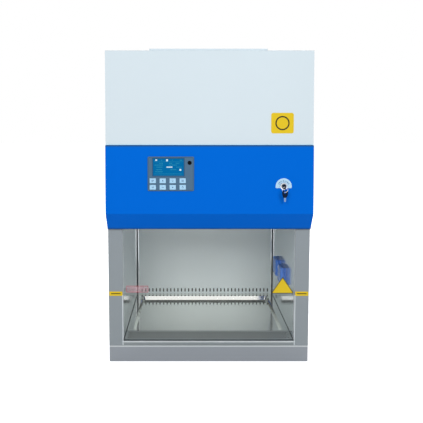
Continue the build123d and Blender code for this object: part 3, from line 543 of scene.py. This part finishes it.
def finished(name, bm, material, body, smooth=35.0):
    """Turns a mesh in millimetres into a piece that rides on its body."""
    bmesh.ops.scale(bm, vec=(MM, MM, MM), verts=bm.verts)
    bmesh.ops.recalc_face_normals(bm, faces=bm.faces)
    mesh = bpy.data.meshes.new(name)
    bm.to_mesh(mesh)
    bm.free()
    mesh.materials.append(material)
    mesh.shade_smooth()
    mesh.set_sharp_from_angle(angle=math.radians(smooth))
    piece = bpy.data.objects.new(name, mesh)
    scene.collection.objects.link(piece)
    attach(piece, body)
    print(name, len(mesh.polygons), "faces")
    return piece


# %% Shapes
MERGE_DISTANCE, CORNER_STEPS, BORE_SIDES = 1e-4, 4, 20


def corners_in(geometry):
    """The vertices among what an operator returns."""
    return [v for v in geometry if isinstance(v, bmesh.types.BMVert)]


def thicken(bm, depth, edge=0.0):
    """Gives a flat mesh depth, and rounds the edges of its top."""
    raised = bmesh.ops.extrude_face_region(bm, geom=bm.faces[:])["geom"]
    bmesh.ops.translate(bm, vec=(0, 0, depth), verts=corners_in(raised))
    if edge:
        rim = [e for e in bm.edges if all(v.co.z > depth / 2 for v in e.verts)]
        bmesh.ops.bevel(bm, geom=rim, offset=edge, segments=2, profile=0.5, affect="EDGES", material=-1)
    return bm


def flat(width, height, corner=0.0):
    """A flat rectangle with rounded corners."""
    bm = bmesh.new()
    bmesh.ops.create_grid(bm, x_segments=1, y_segments=1, size=0.5)
    bmesh.ops.scale(bm, vec=(width, height, 1), verts=bm.verts)
    if corner:
        bmesh.ops.bevel(bm, geom=bm.verts[:], offset=corner, segments=CORNER_STEPS, profile=0.5,
                        affect="VERTICES", material=-1)
    return bm


def plate(width, height, depth, corner=0.0, edge=0.0):
    """A rounded rectangle with depth."""
    return thicken(flat(width, height, corner), depth, edge)


def framed(bm, band, depth):
    """Keeps only a band round the edge of a flat outline, and gives it depth."""
    bm.normal_update()
    inset = bmesh.ops.inset_region(bm, faces=bm.faces[:], thickness=band, use_even_offset=True,
                                   use_boundary=True)
    bmesh.ops.delete(bm, geom=[f for f in bm.faces if f not in inset["faces"]], context="FACES_ONLY")
    return thicken(bm, depth)


def disc(radius, depth, sides):
    """A plate with equal sides, round when it has many."""
    bm = bmesh.new()
    bmesh.ops.create_circle(bm, cap_ends=True, segments=sides, radius=radius)
    return thicken(bm, depth)


def hoop(radius, band, depth, sides):
    """A flat ring."""
    bm = bmesh.new()
    bmesh.ops.create_circle(bm, cap_ends=True, segments=sides, radius=radius)
    return framed(bm, band, depth)


def cut_plate(points, depth, hole=None):
    """A flat outline with an optional round hole (x, y, radius) through it."""
    bm = bmesh.new()
    corners = [bm.verts.new((x, y, 0)) for x, y in points]
    for here, there in zip(corners, corners[1:] + corners[:1]):
        bm.edges.new((here, there))
    if hole:
        x, y, radius = hole
        bore = Matrix.Translation((x, y, 0))
        bmesh.ops.create_circle(bm, segments=BORE_SIDES, radius=radius, matrix=bore)
    bmesh.ops.triangle_fill(bm, use_beauty=True, edges=bm.edges[:])
    return thicken(bm, depth)


def turned_round(bm, geometry, steps):
    """Spins a profile a full turn round the Z axis."""
    bmesh.ops.spin(bm, geom=geometry, cent=(0, 0, 0), axis=(0, 0, 1), angle=math.tau, steps=steps,
                   use_merge=True)
    bmesh.ops.remove_doubles(bm, verts=bm.verts, dist=MERGE_DISTANCE)
    return bm


def spun(profile, steps=48):
    """A closed profile of (radius, height) turned round the Z axis."""
    bm = bmesh.new()
    points = [bm.verts.new((radius, 0, height)) for radius, height in profile]
    edges = [bm.edges.new(pair) for pair in zip(points, points[1:] + points[:1])]
    return turned_round(bm, points + edges, steps)


# %% Perforated sheet
HOLE_SIDES = 8


def repeated(bm, places):
    """Copies of one mesh at several places, as one mesh."""
    mesh = bpy.data.meshes.new("copy")
    bm.to_mesh(mesh)
    whole = bmesh.new()
    for place in places:
        shift = Matrix.Translation(place)
        mesh.transform(shift)
        whole.from_mesh(mesh)
        mesh.transform(shift.inverted())
    bpy.data.meshes.remove(mesh)
    return whole


def perforated(width, depth, thickness, radius, pitch, border, row=None):
    """A sheet with staggered round holes and a plain border, its underside on Z = 0."""
    row = row or pitch * math.sqrt(3) / 2
    columns, rows = int((width - 2 * border) / pitch), int((depth - 2 * border) / row)
    cell = bmesh.new()
    bmesh.ops.create_circle(cell, segments=HOLE_SIDES, radius=radius)
    square = bmesh.ops.create_circle(cell, segments=HOLE_SIDES, radius=1.0)["verts"]
    for vert in square:
        widest = max(abs(vert.co.x), abs(vert.co.y))
        vert.co = Vector((vert.co.x / widest * pitch / 2, vert.co.y / widest * row / 2, 0))
    bmesh.ops.bridge_loops(cell, edges=cell.edges[:])
    stripes = []
    for odd in (0, 1):
        count = columns - odd
        line = repeated(cell, [((i - (count - 1) / 2) * pitch, 0, 0) for i in range(count)])
        stripes.append(repeated(line, [(0, (j - (rows - 1) / 2) * row, 0) for j in range(odd, rows, 2)]))
    bm = joined(stripes)
    bmesh.ops.remove_doubles(bm, verts=bm.verts, dist=pitch * 0.01)
    # A loose edge that is longer than a hole's own sides belongs to the outline of the punched field.
    longest = 1.15 * 2 * radius * math.sin(math.pi / HOLE_SIDES)
    field = [e for e in bm.edges if e.is_boundary and e.calc_length() > longest]
    corners = bmesh.ops.create_grid(bm, x_segments=1, y_segments=1, size=0.5)["verts"]
    bmesh.ops.scale(bm, vec=(width, depth, 1), verts=corners)
    cover = {f for v in corners for f in v.link_faces}
    outer = list({e for f in cover for e in f.edges})
    bmesh.ops.delete(bm, geom=list(cover), context="FACES_ONLY")
    bmesh.ops.triangle_fill(bm, use_beauty=True, edges=field + outer)
    bmesh.ops.recalc_face_normals(bm, faces=bm.faces)
    print("perforated", columns, "x", rows, "holes")
    return thicken(bm, thickness)


# %% [markdown]
# ## The perforated sheets
# The air is drawn in through the front grille and comes down through the ceiling. Both are
# stainless sheet punched with round holes in staggered rows, so each is one thin mesh of many
# small punched squares with a plain border left round them.

# %% Front grille
low, high = box_mm("front_grille")
GRILLE_SHEET, GRILLE_BORDER = 0.5, 3.5
GRILLE_HOLE_R, GRILLE_PITCH, GRILLE_ROW = 3.7, 10.2, 11.4
grille_mesh = perforated(high[0] - low[0], high[1] - low[1], GRILLE_SHEET, GRILLE_HOLE_R, GRILLE_PITCH,
                         GRILLE_BORDER, GRILLE_ROW)
centre = ((low[0] + high[0]) / 2, (low[1] + high[1]) / 2)
placed(grille_mesh, Matrix.Translation((*centre, high[2] - GRILLE_SHEET)))
grille = finished("perforated_front_grille", grille_mesh, grille_steel, "grille")
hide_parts("front_grille")

# %% Ceiling and exhaust screen
low, high = box_mm("supply_diffuser")
DIFFUSER_HOLE_R, DIFFUSER_PITCH, DIFFUSER_BORDER = 4.0, 14.0, 12.0
ceiling_mesh = perforated(high[0] - low[0], high[1] - low[1], high[2] - low[2], DIFFUSER_HOLE_R,
                          DIFFUSER_PITCH, DIFFUSER_BORDER)
centre = ((low[0] + high[0]) / 2, (low[1] + high[1]) / 2)
placed(ceiling_mesh, Matrix.Translation((*centre, low[2])))
ceiling = finished("perforated_ceiling", ceiling_mesh, ceiling_steel, ROOT)
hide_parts("supply_diffuser")

# Under the slotted exhaust cover lies a finer mesh that keeps fingers and birds out.
low, high = box_mm("exhaust_guard")
GUARD_WALL, MESH_SHEET = 1.5, 1.0
MESH_HOLE_R, MESH_PITCH, MESH_BORDER = 3.0, 9.0, 8.0
screen_mesh = perforated(high[0] - low[0] - 4 * GUARD_WALL, high[1] - low[1] - 4 * GUARD_WALL, MESH_SHEET,
                         MESH_HOLE_R, MESH_PITCH, MESH_BORDER)
screen_place = ((low[0] + high[0]) / 2, (low[1] + high[1]) / 2, high[2] - GUARD_WALL - MESH_SHEET)
placed(screen_mesh, Matrix.Translation(screen_place))
finished("exhaust_screen", screen_mesh, galvanised, ROOT)

# %% [markdown]
# ## Trims of the work opening
# A rolled bead finishes the front edge of the sill, and the chamber's rear corners are coved so that they can
# be wiped clean. Light strips on the posts under the sash and along the base's top fold are painted
# highlights, where rounded bends catch the light.

# %% Sill bead
low, high = box_mm("front_sill")
BEAD_H, BEAD_OUT = 6.0, 2.0
BEAD_PROFILE = ((0, 0), (BEAD_OUT * 0.7, 0.8), (BEAD_OUT, BEAD_H * 0.45), (BEAD_OUT * 0.8, BEAD_H * 0.85),
                (0, BEAD_H))
bead_mesh = cut_plate(BEAD_PROFILE, high[0] - low[0])
along_sill = Matrix(((0, 0, 1, low[0]), (-1, 0, 0, low[1]), (0, 1, 0, high[2] - BEAD_H), (0, 0, 0, 1)))
finished("sill_bead", placed(bead_mesh, along_sill), bead_steel, ROOT, smooth=60)

# %% Painted highlights: lips on the posts, and the fold on the base
# The lips are flat strips in a light steel: a painted highlight where the posts' rounded inner edges catch
# the light.
LIP_W, LIP_T, THIN_EDGE = 3.2, 0.5, 0.2
LIP_ABOVE_BASE, LIP_UNDER_GLASS = 1, 2
lip_foot = box_mm("base_pan")[1][2] + LIP_ABOVE_BASE
lip_top = box_mm("sash_glass")[0][2] - LIP_UNDER_GLASS
lips = []
for name in ("left_post", "right_post"):
    low, high = box_mm(name)
    inner = low[0] if low[0] > 0 else high[0]
    side = math.copysign(1, inner)
    lip = plate(LIP_W, lip_top - lip_foot, LIP_T, edge=THIN_EDGE)
    lips.append(placed(lip, seat((inner + side * LIP_W / 2, low[1], (lip_foot + lip_top) / 2))))
finished("post_lip_highlights", joined(lips), lip_highlight_steel, ROOT)

# A light strip along the top of the base's front is a painted highlight on its folded edge.
low, high = box_mm("base_pan")
FOLD_H, FOLD_T, FOLD_INSET = 5.0, 0.4, 0.5
fold = plate(high[0] - low[0] - 2 * FOLD_INSET, FOLD_H, FOLD_T, edge=THIN_EDGE)
placed(fold, seat((0, low[1], high[2] - FOLD_H / 2)))
finished("base_fold_painted_highlight", fold, fold_highlight_paint, ROOT)

# %% Coves
# Their radius is small enough for the tray's square corners to pass as it is lifted out.
wall_x, wall_y = box_mm("right_chamber_wall")[0][0], box_mm("back_chamber_wall")[0][1]
cove_foot, cove_top = box_mm("work_tray")[1][2], box_mm("back_chamber_wall")[1][2]
COVE_R, COVE_STEPS, COVE_T = 3.8, 8, 0.3
TRIM_W, TRIM_T = 3.0, 0.4
coves, trims = [], []
for side in (-1, 1):
    centre = (side * (wall_x - COVE_R), wall_y - COVE_R, cove_foot)
    bm = bmesh.new()
    end = bm.verts.new((centre[0], wall_y - COVE_T, cove_foot))
    bmesh.ops.spin(bm, geom=[end], cent=centre, axis=(0, 0, 1), angle=-side * math.pi / 2, steps=COVE_STEPS)
    up = bmesh.ops.extrude_edge_only(bm, edges=bm.edges[:])["geom"]
    bmesh.ops.translate(bm, vec=(0, 0, cove_top - cove_foot), verts=corners_in(up))
    coves.append(bm)
    trim_x = side * (wall_x - COVE_R - TRIM_W / 2)
    trims.append(placed(plate(TRIM_W, cove_top - cove_foot, TRIM_T),
                        seat((trim_x, wall_y, (cove_top + cove_foot) / 2))))
# The coves' dark colour is painted shade; the real sheet is the same stainless as the walls.
cove = finished("corner_coves", joined(coves), cove_shade_steel, ROOT, smooth=80)
thick = cove.modifiers.new("sheet", "SOLIDIFY")
thick.thickness = COVE_T * MM
finished("cove_edges", joined(trims), bright_steel, ROOT)

# %% [markdown]
# ## The return duct
# Room air and chamber air are drawn off through the slots in the back wall. Behind them lies an unlit duct; a
# black sheet close behind the wall is painted shade, which gives the slots their depth.

# %% Painted duct shade
SHADE_SHEET_H, SHADE_SHEET_T, SHADE_SHEET_BEHIND, SHADE_SHEET_INSET = 34.0, 1.0, 4.0, 6.0
SLOT_Z = 90.0
low, high = box_mm("back_chamber_wall")
shade_sheet = plate(high[0] - low[0] - 2 * SHADE_SHEET_INSET, SHADE_SHEET_H, SHADE_SHEET_T)
placed(shade_sheet, seat((0, high[1] + SHADE_SHEET_BEHIND, SLOT_Z)))
finished("duct_shade_sheet", shade_sheet, duct_painted_shade, ROOT)

# %% [markdown]
# ## The seam over the hood
# A pale strip along the gap between the white cover and the blue hood is a painted highlight on the cover's
# lower edge.

# %% Seam highlight strip
low, high = box_mm("upper_front_panel")
STRIP_H, STRIP_T, STRIP_EDGE = 3.6, 2.4, 0.8
STRIP_BACK_Y, STRIP_DROP = -328.6, 0.4
strip = plate(high[0] - low[0], STRIP_H, STRIP_T, edge=STRIP_EDGE)
placed(strip, seat((0, STRIP_BACK_Y, low[2] + STRIP_H / 2 - STRIP_DROP)))
finished("seam_highlight_strip", strip, seam_painted_highlight, ROOT)

# %% [markdown]
# ## Control panel
# The keypad is a moulded bezel with a display under a clear window, eight keys and a round
# receiver window. The display's figures are short bars and blocks without any wording, as a
# powered panel looks from a few steps away.

# %% The hood's face
FOLD_Y, FOLD_Z, HOOD_TOP_Y, HOOD_TOP_MM = -349.0, 536.0, -338.0, 766.5
hood_face = seat((0, FOLD_Y, FOLD_Z), up=(0, HOOD_TOP_Y - FOLD_Y, HOOD_TOP_MM - FOLD_Z))
BEZEL_X, BEZEL_UP, BEZEL_T = -130.0, 135.2, 4.0
DISPLAY_X, DISPLAY_UP, DISPLAY_W, DISPLAY_H, DISPLAY_PROUD = -138.0, 157.7, 104.0, 58.0, 2.8
print("the hood's face is", round(math.dist((FOLD_Y, FOLD_Z), (HOOD_TOP_Y, HOOD_TOP_MM)), 1), "mm high")

# %% Display rim and bezel line
RIM_BAND, RIM_T = 2.5, 0.5
rim = framed(flat(DISPLAY_W + 2 * RIM_BAND, DISPLAY_H + 2 * RIM_BAND, RIM_BAND), RIM_BAND, RIM_T)
placed(rim, at(hood_face, DISPLAY_X, DISPLAY_UP, BEZEL_T))
finished("display_rim", rim, rim_plastic, ROOT)
LINE_W, LINE_H, LINE_CORNER, LINE_BAND, LINE_T, LINE_SUNK = 150.0, 110.0, 4.0, 1.0, 0.25, 0.05
band = framed(flat(LINE_W, LINE_H, LINE_CORNER), LINE_BAND, LINE_T)
placed(band, at(hood_face, BEZEL_X, BEZEL_UP, BEZEL_T - LINE_SUNK))
finished("bezel_line", band, rim_plastic, ROOT)


# %% Icons and figures
def on_display(bm, x, y):
    """Lays a mark on the display, measured from its middle."""
    return placed(bm, at(hood_face, DISPLAY_X + x, DISPLAY_UP + y, DISPLAY_PROUD))


ICONS = ((-41, 23.5, 6, 5), (-4.6, 23, 6, 7), (40, -9, 6, 6), (3.5, 0.2, 20, 3.4))  # x, y, width, height
ICON_T, ICON_CORNER = 0.15, 0.6
bright = [on_display(plate(w, h, ICON_T, ICON_CORNER), x, y) for x, y, w, h in ICONS]
finished("display_icons", joined(bright), icon_light, ROOT)

# Each row of figures is (y, first x, last x), and three rules part the rows.
ROWS = ((23, -25, -19), (23, 12, 17), (23, 38, 47), (13, -31, -18), (13, 2, 14), (13, 24, 38), (7, -47, -18),
        (7, 0, 30), (0, -40, -19), (0, 26, 46), (-8.5, -42, -20), (-8.5, 6, 29), (-15.5, -45, -18))
FIGURE_W, FIGURE_H, FIGURE_STEP, FIGURE_T = 1.7, 3.2, 2.6, 0.1
RULES, RULE_W, RULE_H = (-22.0, -26.5, 18.0), 96.0, 0.7
figures = []
for y, first, last in ROWS:
    for i in range(int((last - first) / FIGURE_STEP)):
        height = FIGURE_H * (0.7 + 0.3 * ((i * 7 + int(first)) % 3) / 2)
        figures.append(on_display(plate(FIGURE_W, height, FIGURE_T), first + (i + 0.5) * FIGURE_STEP, y))
figures += [on_display(plate(RULE_W, RULE_H, FIGURE_T), 0, y) for y in RULES]
finished("display_figures", joined(figures), figure_light, ROOT)

# %% Key marks
MARK_T = 0.12


def triangle(size, turn):
    """A small filled triangle."""
    return placed(disc(size, MARK_T, sides=3), Matrix.Rotation(math.radians(turn), 4, "Z"))


def bars(*places):
    """A few small bars: (x, y, width, height)."""
    return joined([placed(plate(w, h, MARK_T), Matrix.Translation((x, y, 0))) for x, y, w, h in places])


def ring_mark(size, gap_bar):
    """A small ring, with a bar through its top for a power key."""
    parts = [hoop(size, 0.8, MARK_T, sides=20)]
    if gap_bar:
        parts.append(placed(plate(0.9, size * 1.2, 0.14), Matrix.Translation((0, size * 0.8, 0))))
    return joined(parts)


MARKS = [
    lambda: bars((0, 0, 8.5, 1.1), (0, 2.2, 8.5, 1.1), (-1.5, -2.2, 5.5, 1.1)),
    lambda: triangle(3.4, 0),
    lambda: ring_mark(2.8, False),
    lambda: bars((0, 0, 8.0, 1.2), (0, -2.4, 8.0, 1.2), (0, 2.4, 8.0, 1.2)),
    lambda: bars((-2.5, 0, 1.2, 5.5), (0, 0, 1.2, 5.5), (2.5, 0, 1.2, 5.5)),
    lambda: bars((0, 0, 7.5, 1.3)),
    lambda: triangle(3.4, 180),
    lambda: ring_mark(3.0, True),
]
KEY_ROWS_UP, KEY_FIRST_X, KEY_STEP, KEY_FACE = (112.1, 90.1), -190.5, 33.4, BEZEL_T + 1.6
for number, mark in enumerate(MARKS, start=1):
    row, column = divmod(number - 1, 4)
    place = at(hood_face, KEY_FIRST_X + KEY_STEP * column, KEY_ROWS_UP[row], KEY_FACE)
    finished(f"key_mark_{number}", placed(mark(), place), mark_ink, f"button_{number}")

# %% [markdown]
# ## Key switch
# The lock has a turned, plated collar over a silver scale with dark strokes. A key with a
# moulded head stays in it, and its twin hangs from the same ring.

# %% Lock and scale
SWITCH_X, SWITCH_UP, COLLAR_PROUD = 249.0, 93.1, 9.0
# (radius, height) from the hood's face: the bore, the rounded nose, the flange and the stem behind it
COLLAR = ((6.05, -14.0), (6.05, 7.6), (6.9, 8.7), (8.6, COLLAR_PROUD), (9.4, 8.5), (9.7, 7.2), (10.4, 6.4),
          (11.8, 5.9), (12.5, 4.8), (12.5, 0.0), (9.5, 0.0), (9.5, -14.0))
lock = at(hood_face, SWITCH_X, SWITCH_UP)
collar = finished("switch_collar", placed(spun(COLLAR), lock), chrome, ROOT)
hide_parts("switch_body")

# Long strokes mark the positions and short ones part them: (turns, radius, width, height)
SCALE_PROUD, STROKE_T = 1.0, 0.15
STROKES = (((-62.0, -47.0, 0.0, 47.0, 62.0), 18.2, 2.2, 5.5),
           ((-36.0, -27.0, -18.0, 18.0, 27.0, 36.0), 18.8, 1.1, 3.6))
strokes = []
for turns, radius, width, height in STROKES:
    for turn in turns:
        place = at(lock, 0, 0, SCALE_PROUD, turn) @ Matrix.Translation((0, radius, 0))
        strokes.append(placed(plate(width, height, STROKE_T), place))
finished("scale_strokes", joined(strokes), mark_ink, ROOT)

# %% The key in the lock
# The bow is drawn along X and then stood on edge, so that X points out of the lock.
on_edge = lock @ Matrix(((0, 0, -1, 0), (0, 1, 0, 0), (1, 0, 0, 0), (0, 0, 0, 1)))
BOW = ((10.5, -6), (10.5, 6), (15, 8.6), (18, 9), (32.5, 9), (34.5, 7), (35, 0), (34.5, -7), (32.5, -9),
       (18, -9), (15, -8.6))
BOW_T, HOLE_AT, HOLE_R = 2.4, 29.0, 4.2
bow = placed(cut_plate(BOW, BOW_T, (HOLE_AT, 0, HOLE_R)), on_edge @ Matrix.Translation((0, 0, -BOW_T / 2)))
GRIP_W, GRIP_H, GRIP_FROM, GRIP_TO, GRIP_CORNER, GRIP_EDGE = 9.5, 14.5, 11.0, 21.5, 3.2, 1.4
grip = placed(plate(GRIP_W, GRIP_H, GRIP_TO - GRIP_FROM, GRIP_CORNER, GRIP_EDGE), at(lock, 0, 0, GRIP_FROM))
head = finished("key_head", joined([bow, grip]), key_black, "key_switch", smooth=50)
BLADE_T, BLADE_H, BLADE_FROM, BLADE_TO = 2.0, 8.0, -9.0, 11.5
blade = placed(plate(BLADE_T, BLADE_H, BLADE_TO - BLADE_FROM), at(lock, 0, 0, BLADE_FROM))
finished("key_blade", blade, key_steel, "key_switch")
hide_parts("inserted_key")

# %% Ring and spare key
low, high = box_mm("key_ring")
LOOP_R, WIRE_R = 9.0, 0.7
LOOP_TURN = math.radians(12.0)
loop_middle = (Vector(low) + Vector(high)) / 2
wire = bmesh.new()
bmesh.ops.create_circle(wire, segments=10, radius=WIRE_R,
                        matrix=Matrix.Translation((LOOP_R, 0, 0)) @ Matrix.Rotation(math.radians(90), 4, "X"))
turned_round(wire, wire.verts[:] + wire.edges[:], steps=48)
loop_seat = seat(loop_middle, across=(math.cos(LOOP_TURN), -math.sin(LOOP_TURN), 0))
ring = finished("split_ring", placed(wire, loop_seat), chrome, "ring", smooth=80)
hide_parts("key_ring")

SPARE_TURN = math.radians(14.0)
spare_hole = loop_middle - Vector((0, 0, LOOP_R))
spare_seat = seat(spare_hole, across=(math.cos(SPARE_TURN), math.sin(SPARE_TURN), 0))
SPARE_BOW = ((-7.5, 5), (0, 5.6), (7.5, 5), (10.2, 2.6), (10.6, 0.5), (9, -10), (4.4, -18), (-4.4, -18),
             (-9, -10), (-10.6, 0.5), (-10.2, 2.6))
SPARE_BLADE = ((-3.6, -12), (3.6, -12), (3.6, -19), (2.4, -20.2), (3.6, -21.6), (3.6, -23.5), (2.0, -25),
               (3.4, -26.6), (3.4, -28), (1.5, -31.8), (-2, -31.8), (-3.6, -29))
SPARE_T = 1.8
spare_bow = cut_plate(SPARE_BOW, BOW_T, (0, 0, HOLE_R))
placed(spare_bow, spare_seat @ Matrix.Translation((0, 0, -BOW_T / 2)))
spare = finished("spare_bow", spare_bow, key_black, "spare")
spare_steel = placed(cut_plate(SPARE_BLADE, SPARE_T), spare_seat @ Matrix.Translation((0, 0, -SPARE_T / 2)))
finished("spare_blade", spare_steel, key_steel, "spare")
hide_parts("spare_key")

# %% [markdown]
# ## Labels
# The printed labels are plain coloured film, without wording or signs.

# %% Labels on the casing
PANEL_FOOT, PANEL_TOP = (-330.0, 767.5), (-319.0, 1083.0)
panel_face = seat((0, *PANEL_FOOT), up=(0, PANEL_TOP[0] - PANEL_FOOT[0], PANEL_TOP[1] - PANEL_FOOT[1]))
BADGE_X, BADGE_UP, BADGE_W, BADGE_H, BADGE_CORNER = 245.0, 73.2, 76.0, 69.0, 7.0
RING_R, RING_BAND = 24.0, 4.5
FILM_T, PRINT_T = 0.3, 0.12
badge = placed(plate(BADGE_W, BADGE_H, FILM_T, BADGE_CORNER), at(panel_face, BADGE_X, BADGE_UP))
finished("yellow_label", badge, yellow_film, ROOT)
badge_ring = placed(hoop(RING_R, RING_BAND, PRINT_T, sides=40), at(panel_face, BADGE_X, BADGE_UP, FILM_T))
finished("yellow_label_ring", badge_ring, ink_and_slot_shade, ROOT)

# A strip on each post shows the height to which the sash is opened.
POST_FRONT_Y, STRIP_X, STRIP_UP = -300.0, 325.0, 245.0
STRIP_FILM, STRIP_LINE = (46.0, 15.5, 0.25, 0.8), (34.0, 3.2, 0.1)      # width, height, depth, corner
front = seat((0, POST_FRONT_Y, 0))
strips = [placed(plate(*STRIP_FILM), at(front, x, STRIP_UP)) for x in (-STRIP_X, STRIP_X)]
finished("height_strips", joined(strips), yellow_film, ROOT)
lines = [placed(plate(*STRIP_LINE), at(front, x, STRIP_UP, STRIP_FILM[2])) for x in (-STRIP_X, STRIP_X)]
finished("height_strip_lines", joined(lines), ink_and_slot_shade, ROOT)

# %% Labels on the glass
glass_face = seat((0, box_mm("sash_glass")[0][1], 0))


def three_sided(width, height, depth, corner):
    """A triangle with rounded corners, seated by its middle, with its foot along X."""
    bm = bmesh.new()
    bmesh.ops.create_circle(bm, cap_ends=True, segments=3, radius=2 / 3)    # one unit high
    bmesh.ops.scale(bm, vec=(width / math.sqrt(4 / 3), height, 1), verts=bm.verts)
    bmesh.ops.bevel(bm, geom=bm.verts[:], offset=corner, segments=3, profile=0.5, affect="VERTICES",
                    material=-1)
    return thicken(bm, depth)


WARN_X, WARN_FOOT, WARN_W, WARN_H, BACKING_T = 259.5, 243.0, 80.0, 59.5, 0.2
FIELD_W, FIELD_H, FIELD_T = WARN_W - 8, WARN_H - 6.5, 0.12
warn_up = WARN_FOOT + WARN_H / 3
backing = placed(three_sided(WARN_W, WARN_H, BACKING_T, 3.0), at(glass_face, WARN_X, warn_up))
finished("triangle_backing", backing, ink_and_slot_shade, "sash")
field = placed(three_sided(FIELD_W, FIELD_H, FIELD_T, 2.4), at(glass_face, WARN_X, warn_up, BACKING_T))
finished("triangle_label", field, yellow_film, "sash")

CLEAR_X, CLEAR_UP, CLEAR_W, CLEAR_H, CLEAR_T, CLEAR_CORNER = -251.0, 258.5, 79.0, 25.0, 0.15, 1.5
film = placed(plate(CLEAR_W, CLEAR_H, CLEAR_T, CLEAR_CORNER), at(glass_face, CLEAR_X, CLEAR_UP))
finished("clear_label", film, label_film, "sash")
BORDER_INSET, BORDER_BAND, BORDER_CORNER, BORDER_T = 1, 1.5, 3.0, 0.1
outline = flat(CLEAR_W - 2 * BORDER_INSET, CLEAR_H - 2 * BORDER_INSET, BORDER_CORNER)
border = placed(framed(outline, BORDER_BAND, BORDER_T), at(glass_face, CLEAR_X, CLEAR_UP, CLEAR_T))
finished("clear_label_line", border, label_red, "sash")
TEXT_ROWS, TEXT_H = ((-4, 6, 56), (4, 1.5, 60), (0, -3, 62), (-8, -7.5, 44)), 1.6      # x, y, width
film_rows = [placed(plate(width, TEXT_H, BORDER_T), at(glass_face, CLEAR_X + x, CLEAR_UP + y, CLEAR_T))
             for x, y, width in TEXT_ROWS]
finished("clear_label_rows", joined(film_rows), label_pink, "sash")

# %% [markdown]
# ## Small hardware
# Domed screws with a cross slot hold the rear panel and the exhaust cover, and the cover's
# right end shows two small front fixings.

# %% Screws
HEAD = ((0.0, 0.0), (4.0, 0.0), (3.9, 0.8), (3.2, 1.5), (2.0, 1.9), (0.0, 2.0))     # radius, height
CROSS_BAR, CROSS_UP = (3.2, 0.8, 0.12), 1.95


def screw():
    """A domed head."""
    dome = bmesh.new()
    points = [dome.verts.new((radius, 0, height)) for radius, height in HEAD]
    edges = [dome.edges.new(pair) for pair in zip(points, points[1:])]
    return turned_round(dome, points + edges, steps=20)


def cross():
    """The dark cross in a screw's head: painted shade for the recessed slot."""
    return joined([plate(*CROSS_BAR), placed(plate(*CROSS_BAR), Matrix.Rotation(math.pi / 2, 4, "Z"))])


# The rear panel is held along its edges only, and the exhaust cover near its corners.
REAR_X, REAR_Z = (-335.0, -112.0, 112.0, 335.0), (75.0, 400.0, 735.0, 1065.0)
COVER_X, COVER_Y = (-200.0, 200.0), (-208.0, 220.0)
CASING_TOP, BACK_Y = 1083.0, 300.0
places = [seat((x, BACK_Y, z), across=(-1, 0, 0)) for x in REAR_X for z in REAR_Z
          if x in (REAR_X[0], REAR_X[-1]) or z in (REAR_Z[0], REAR_Z[-1])]
places += [seat((x, y, CASING_TOP), up=(0, 1, 0)) for x in COVER_X for y in COVER_Y]
heads = finished("screw_heads", joined([placed(screw(), p) for p in places]), chrome, ROOT)
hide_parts("panel_screws")
crosses = [placed(cross(), p @ Matrix.Translation((0, 0, CROSS_UP))) for p in places]
finished("screw_slot_shade", joined(crosses), ink_and_slot_shade, ROOT)

FIXINGS, FIXING_T = ((178.0, 1091.0, 2.2), (202.0, 1090.0, 2.6)), 0.5      # x, z, radius
guard_front_y = box_mm("exhaust_guard")[0][1]
fixings = [placed(disc(radius, FIXING_T, sides=12), seat((x, guard_front_y, z))) for x, z, radius in FIXINGS]
finished("guard_fixings", joined(fixings), guard_ink, ROOT)

# %% Lamp caps
low, high = box_mm("uv_lamp")
CAP_LEN = 16.0
cap_in, cap_out = (high[2] - low[2]) / 2 - 0.6, (high[2] - low[2]) / 2 + 0.4
caps = []
for x in (low[0], high[0] - CAP_LEN):
    cap = spun(((cap_in, 0), (cap_out, 0), (cap_out, CAP_LEN), (cap_in, CAP_LEN)), steps=24)
    middle = Matrix.Translation((x, (low[1] + high[1]) / 2, (low[2] + high[2]) / 2))
    caps.append(placed(cap, middle @ Matrix.Rotation(math.radians(90), 4, "Y")))
finished("lamp_caps", joined(caps), chrome, ROOT)
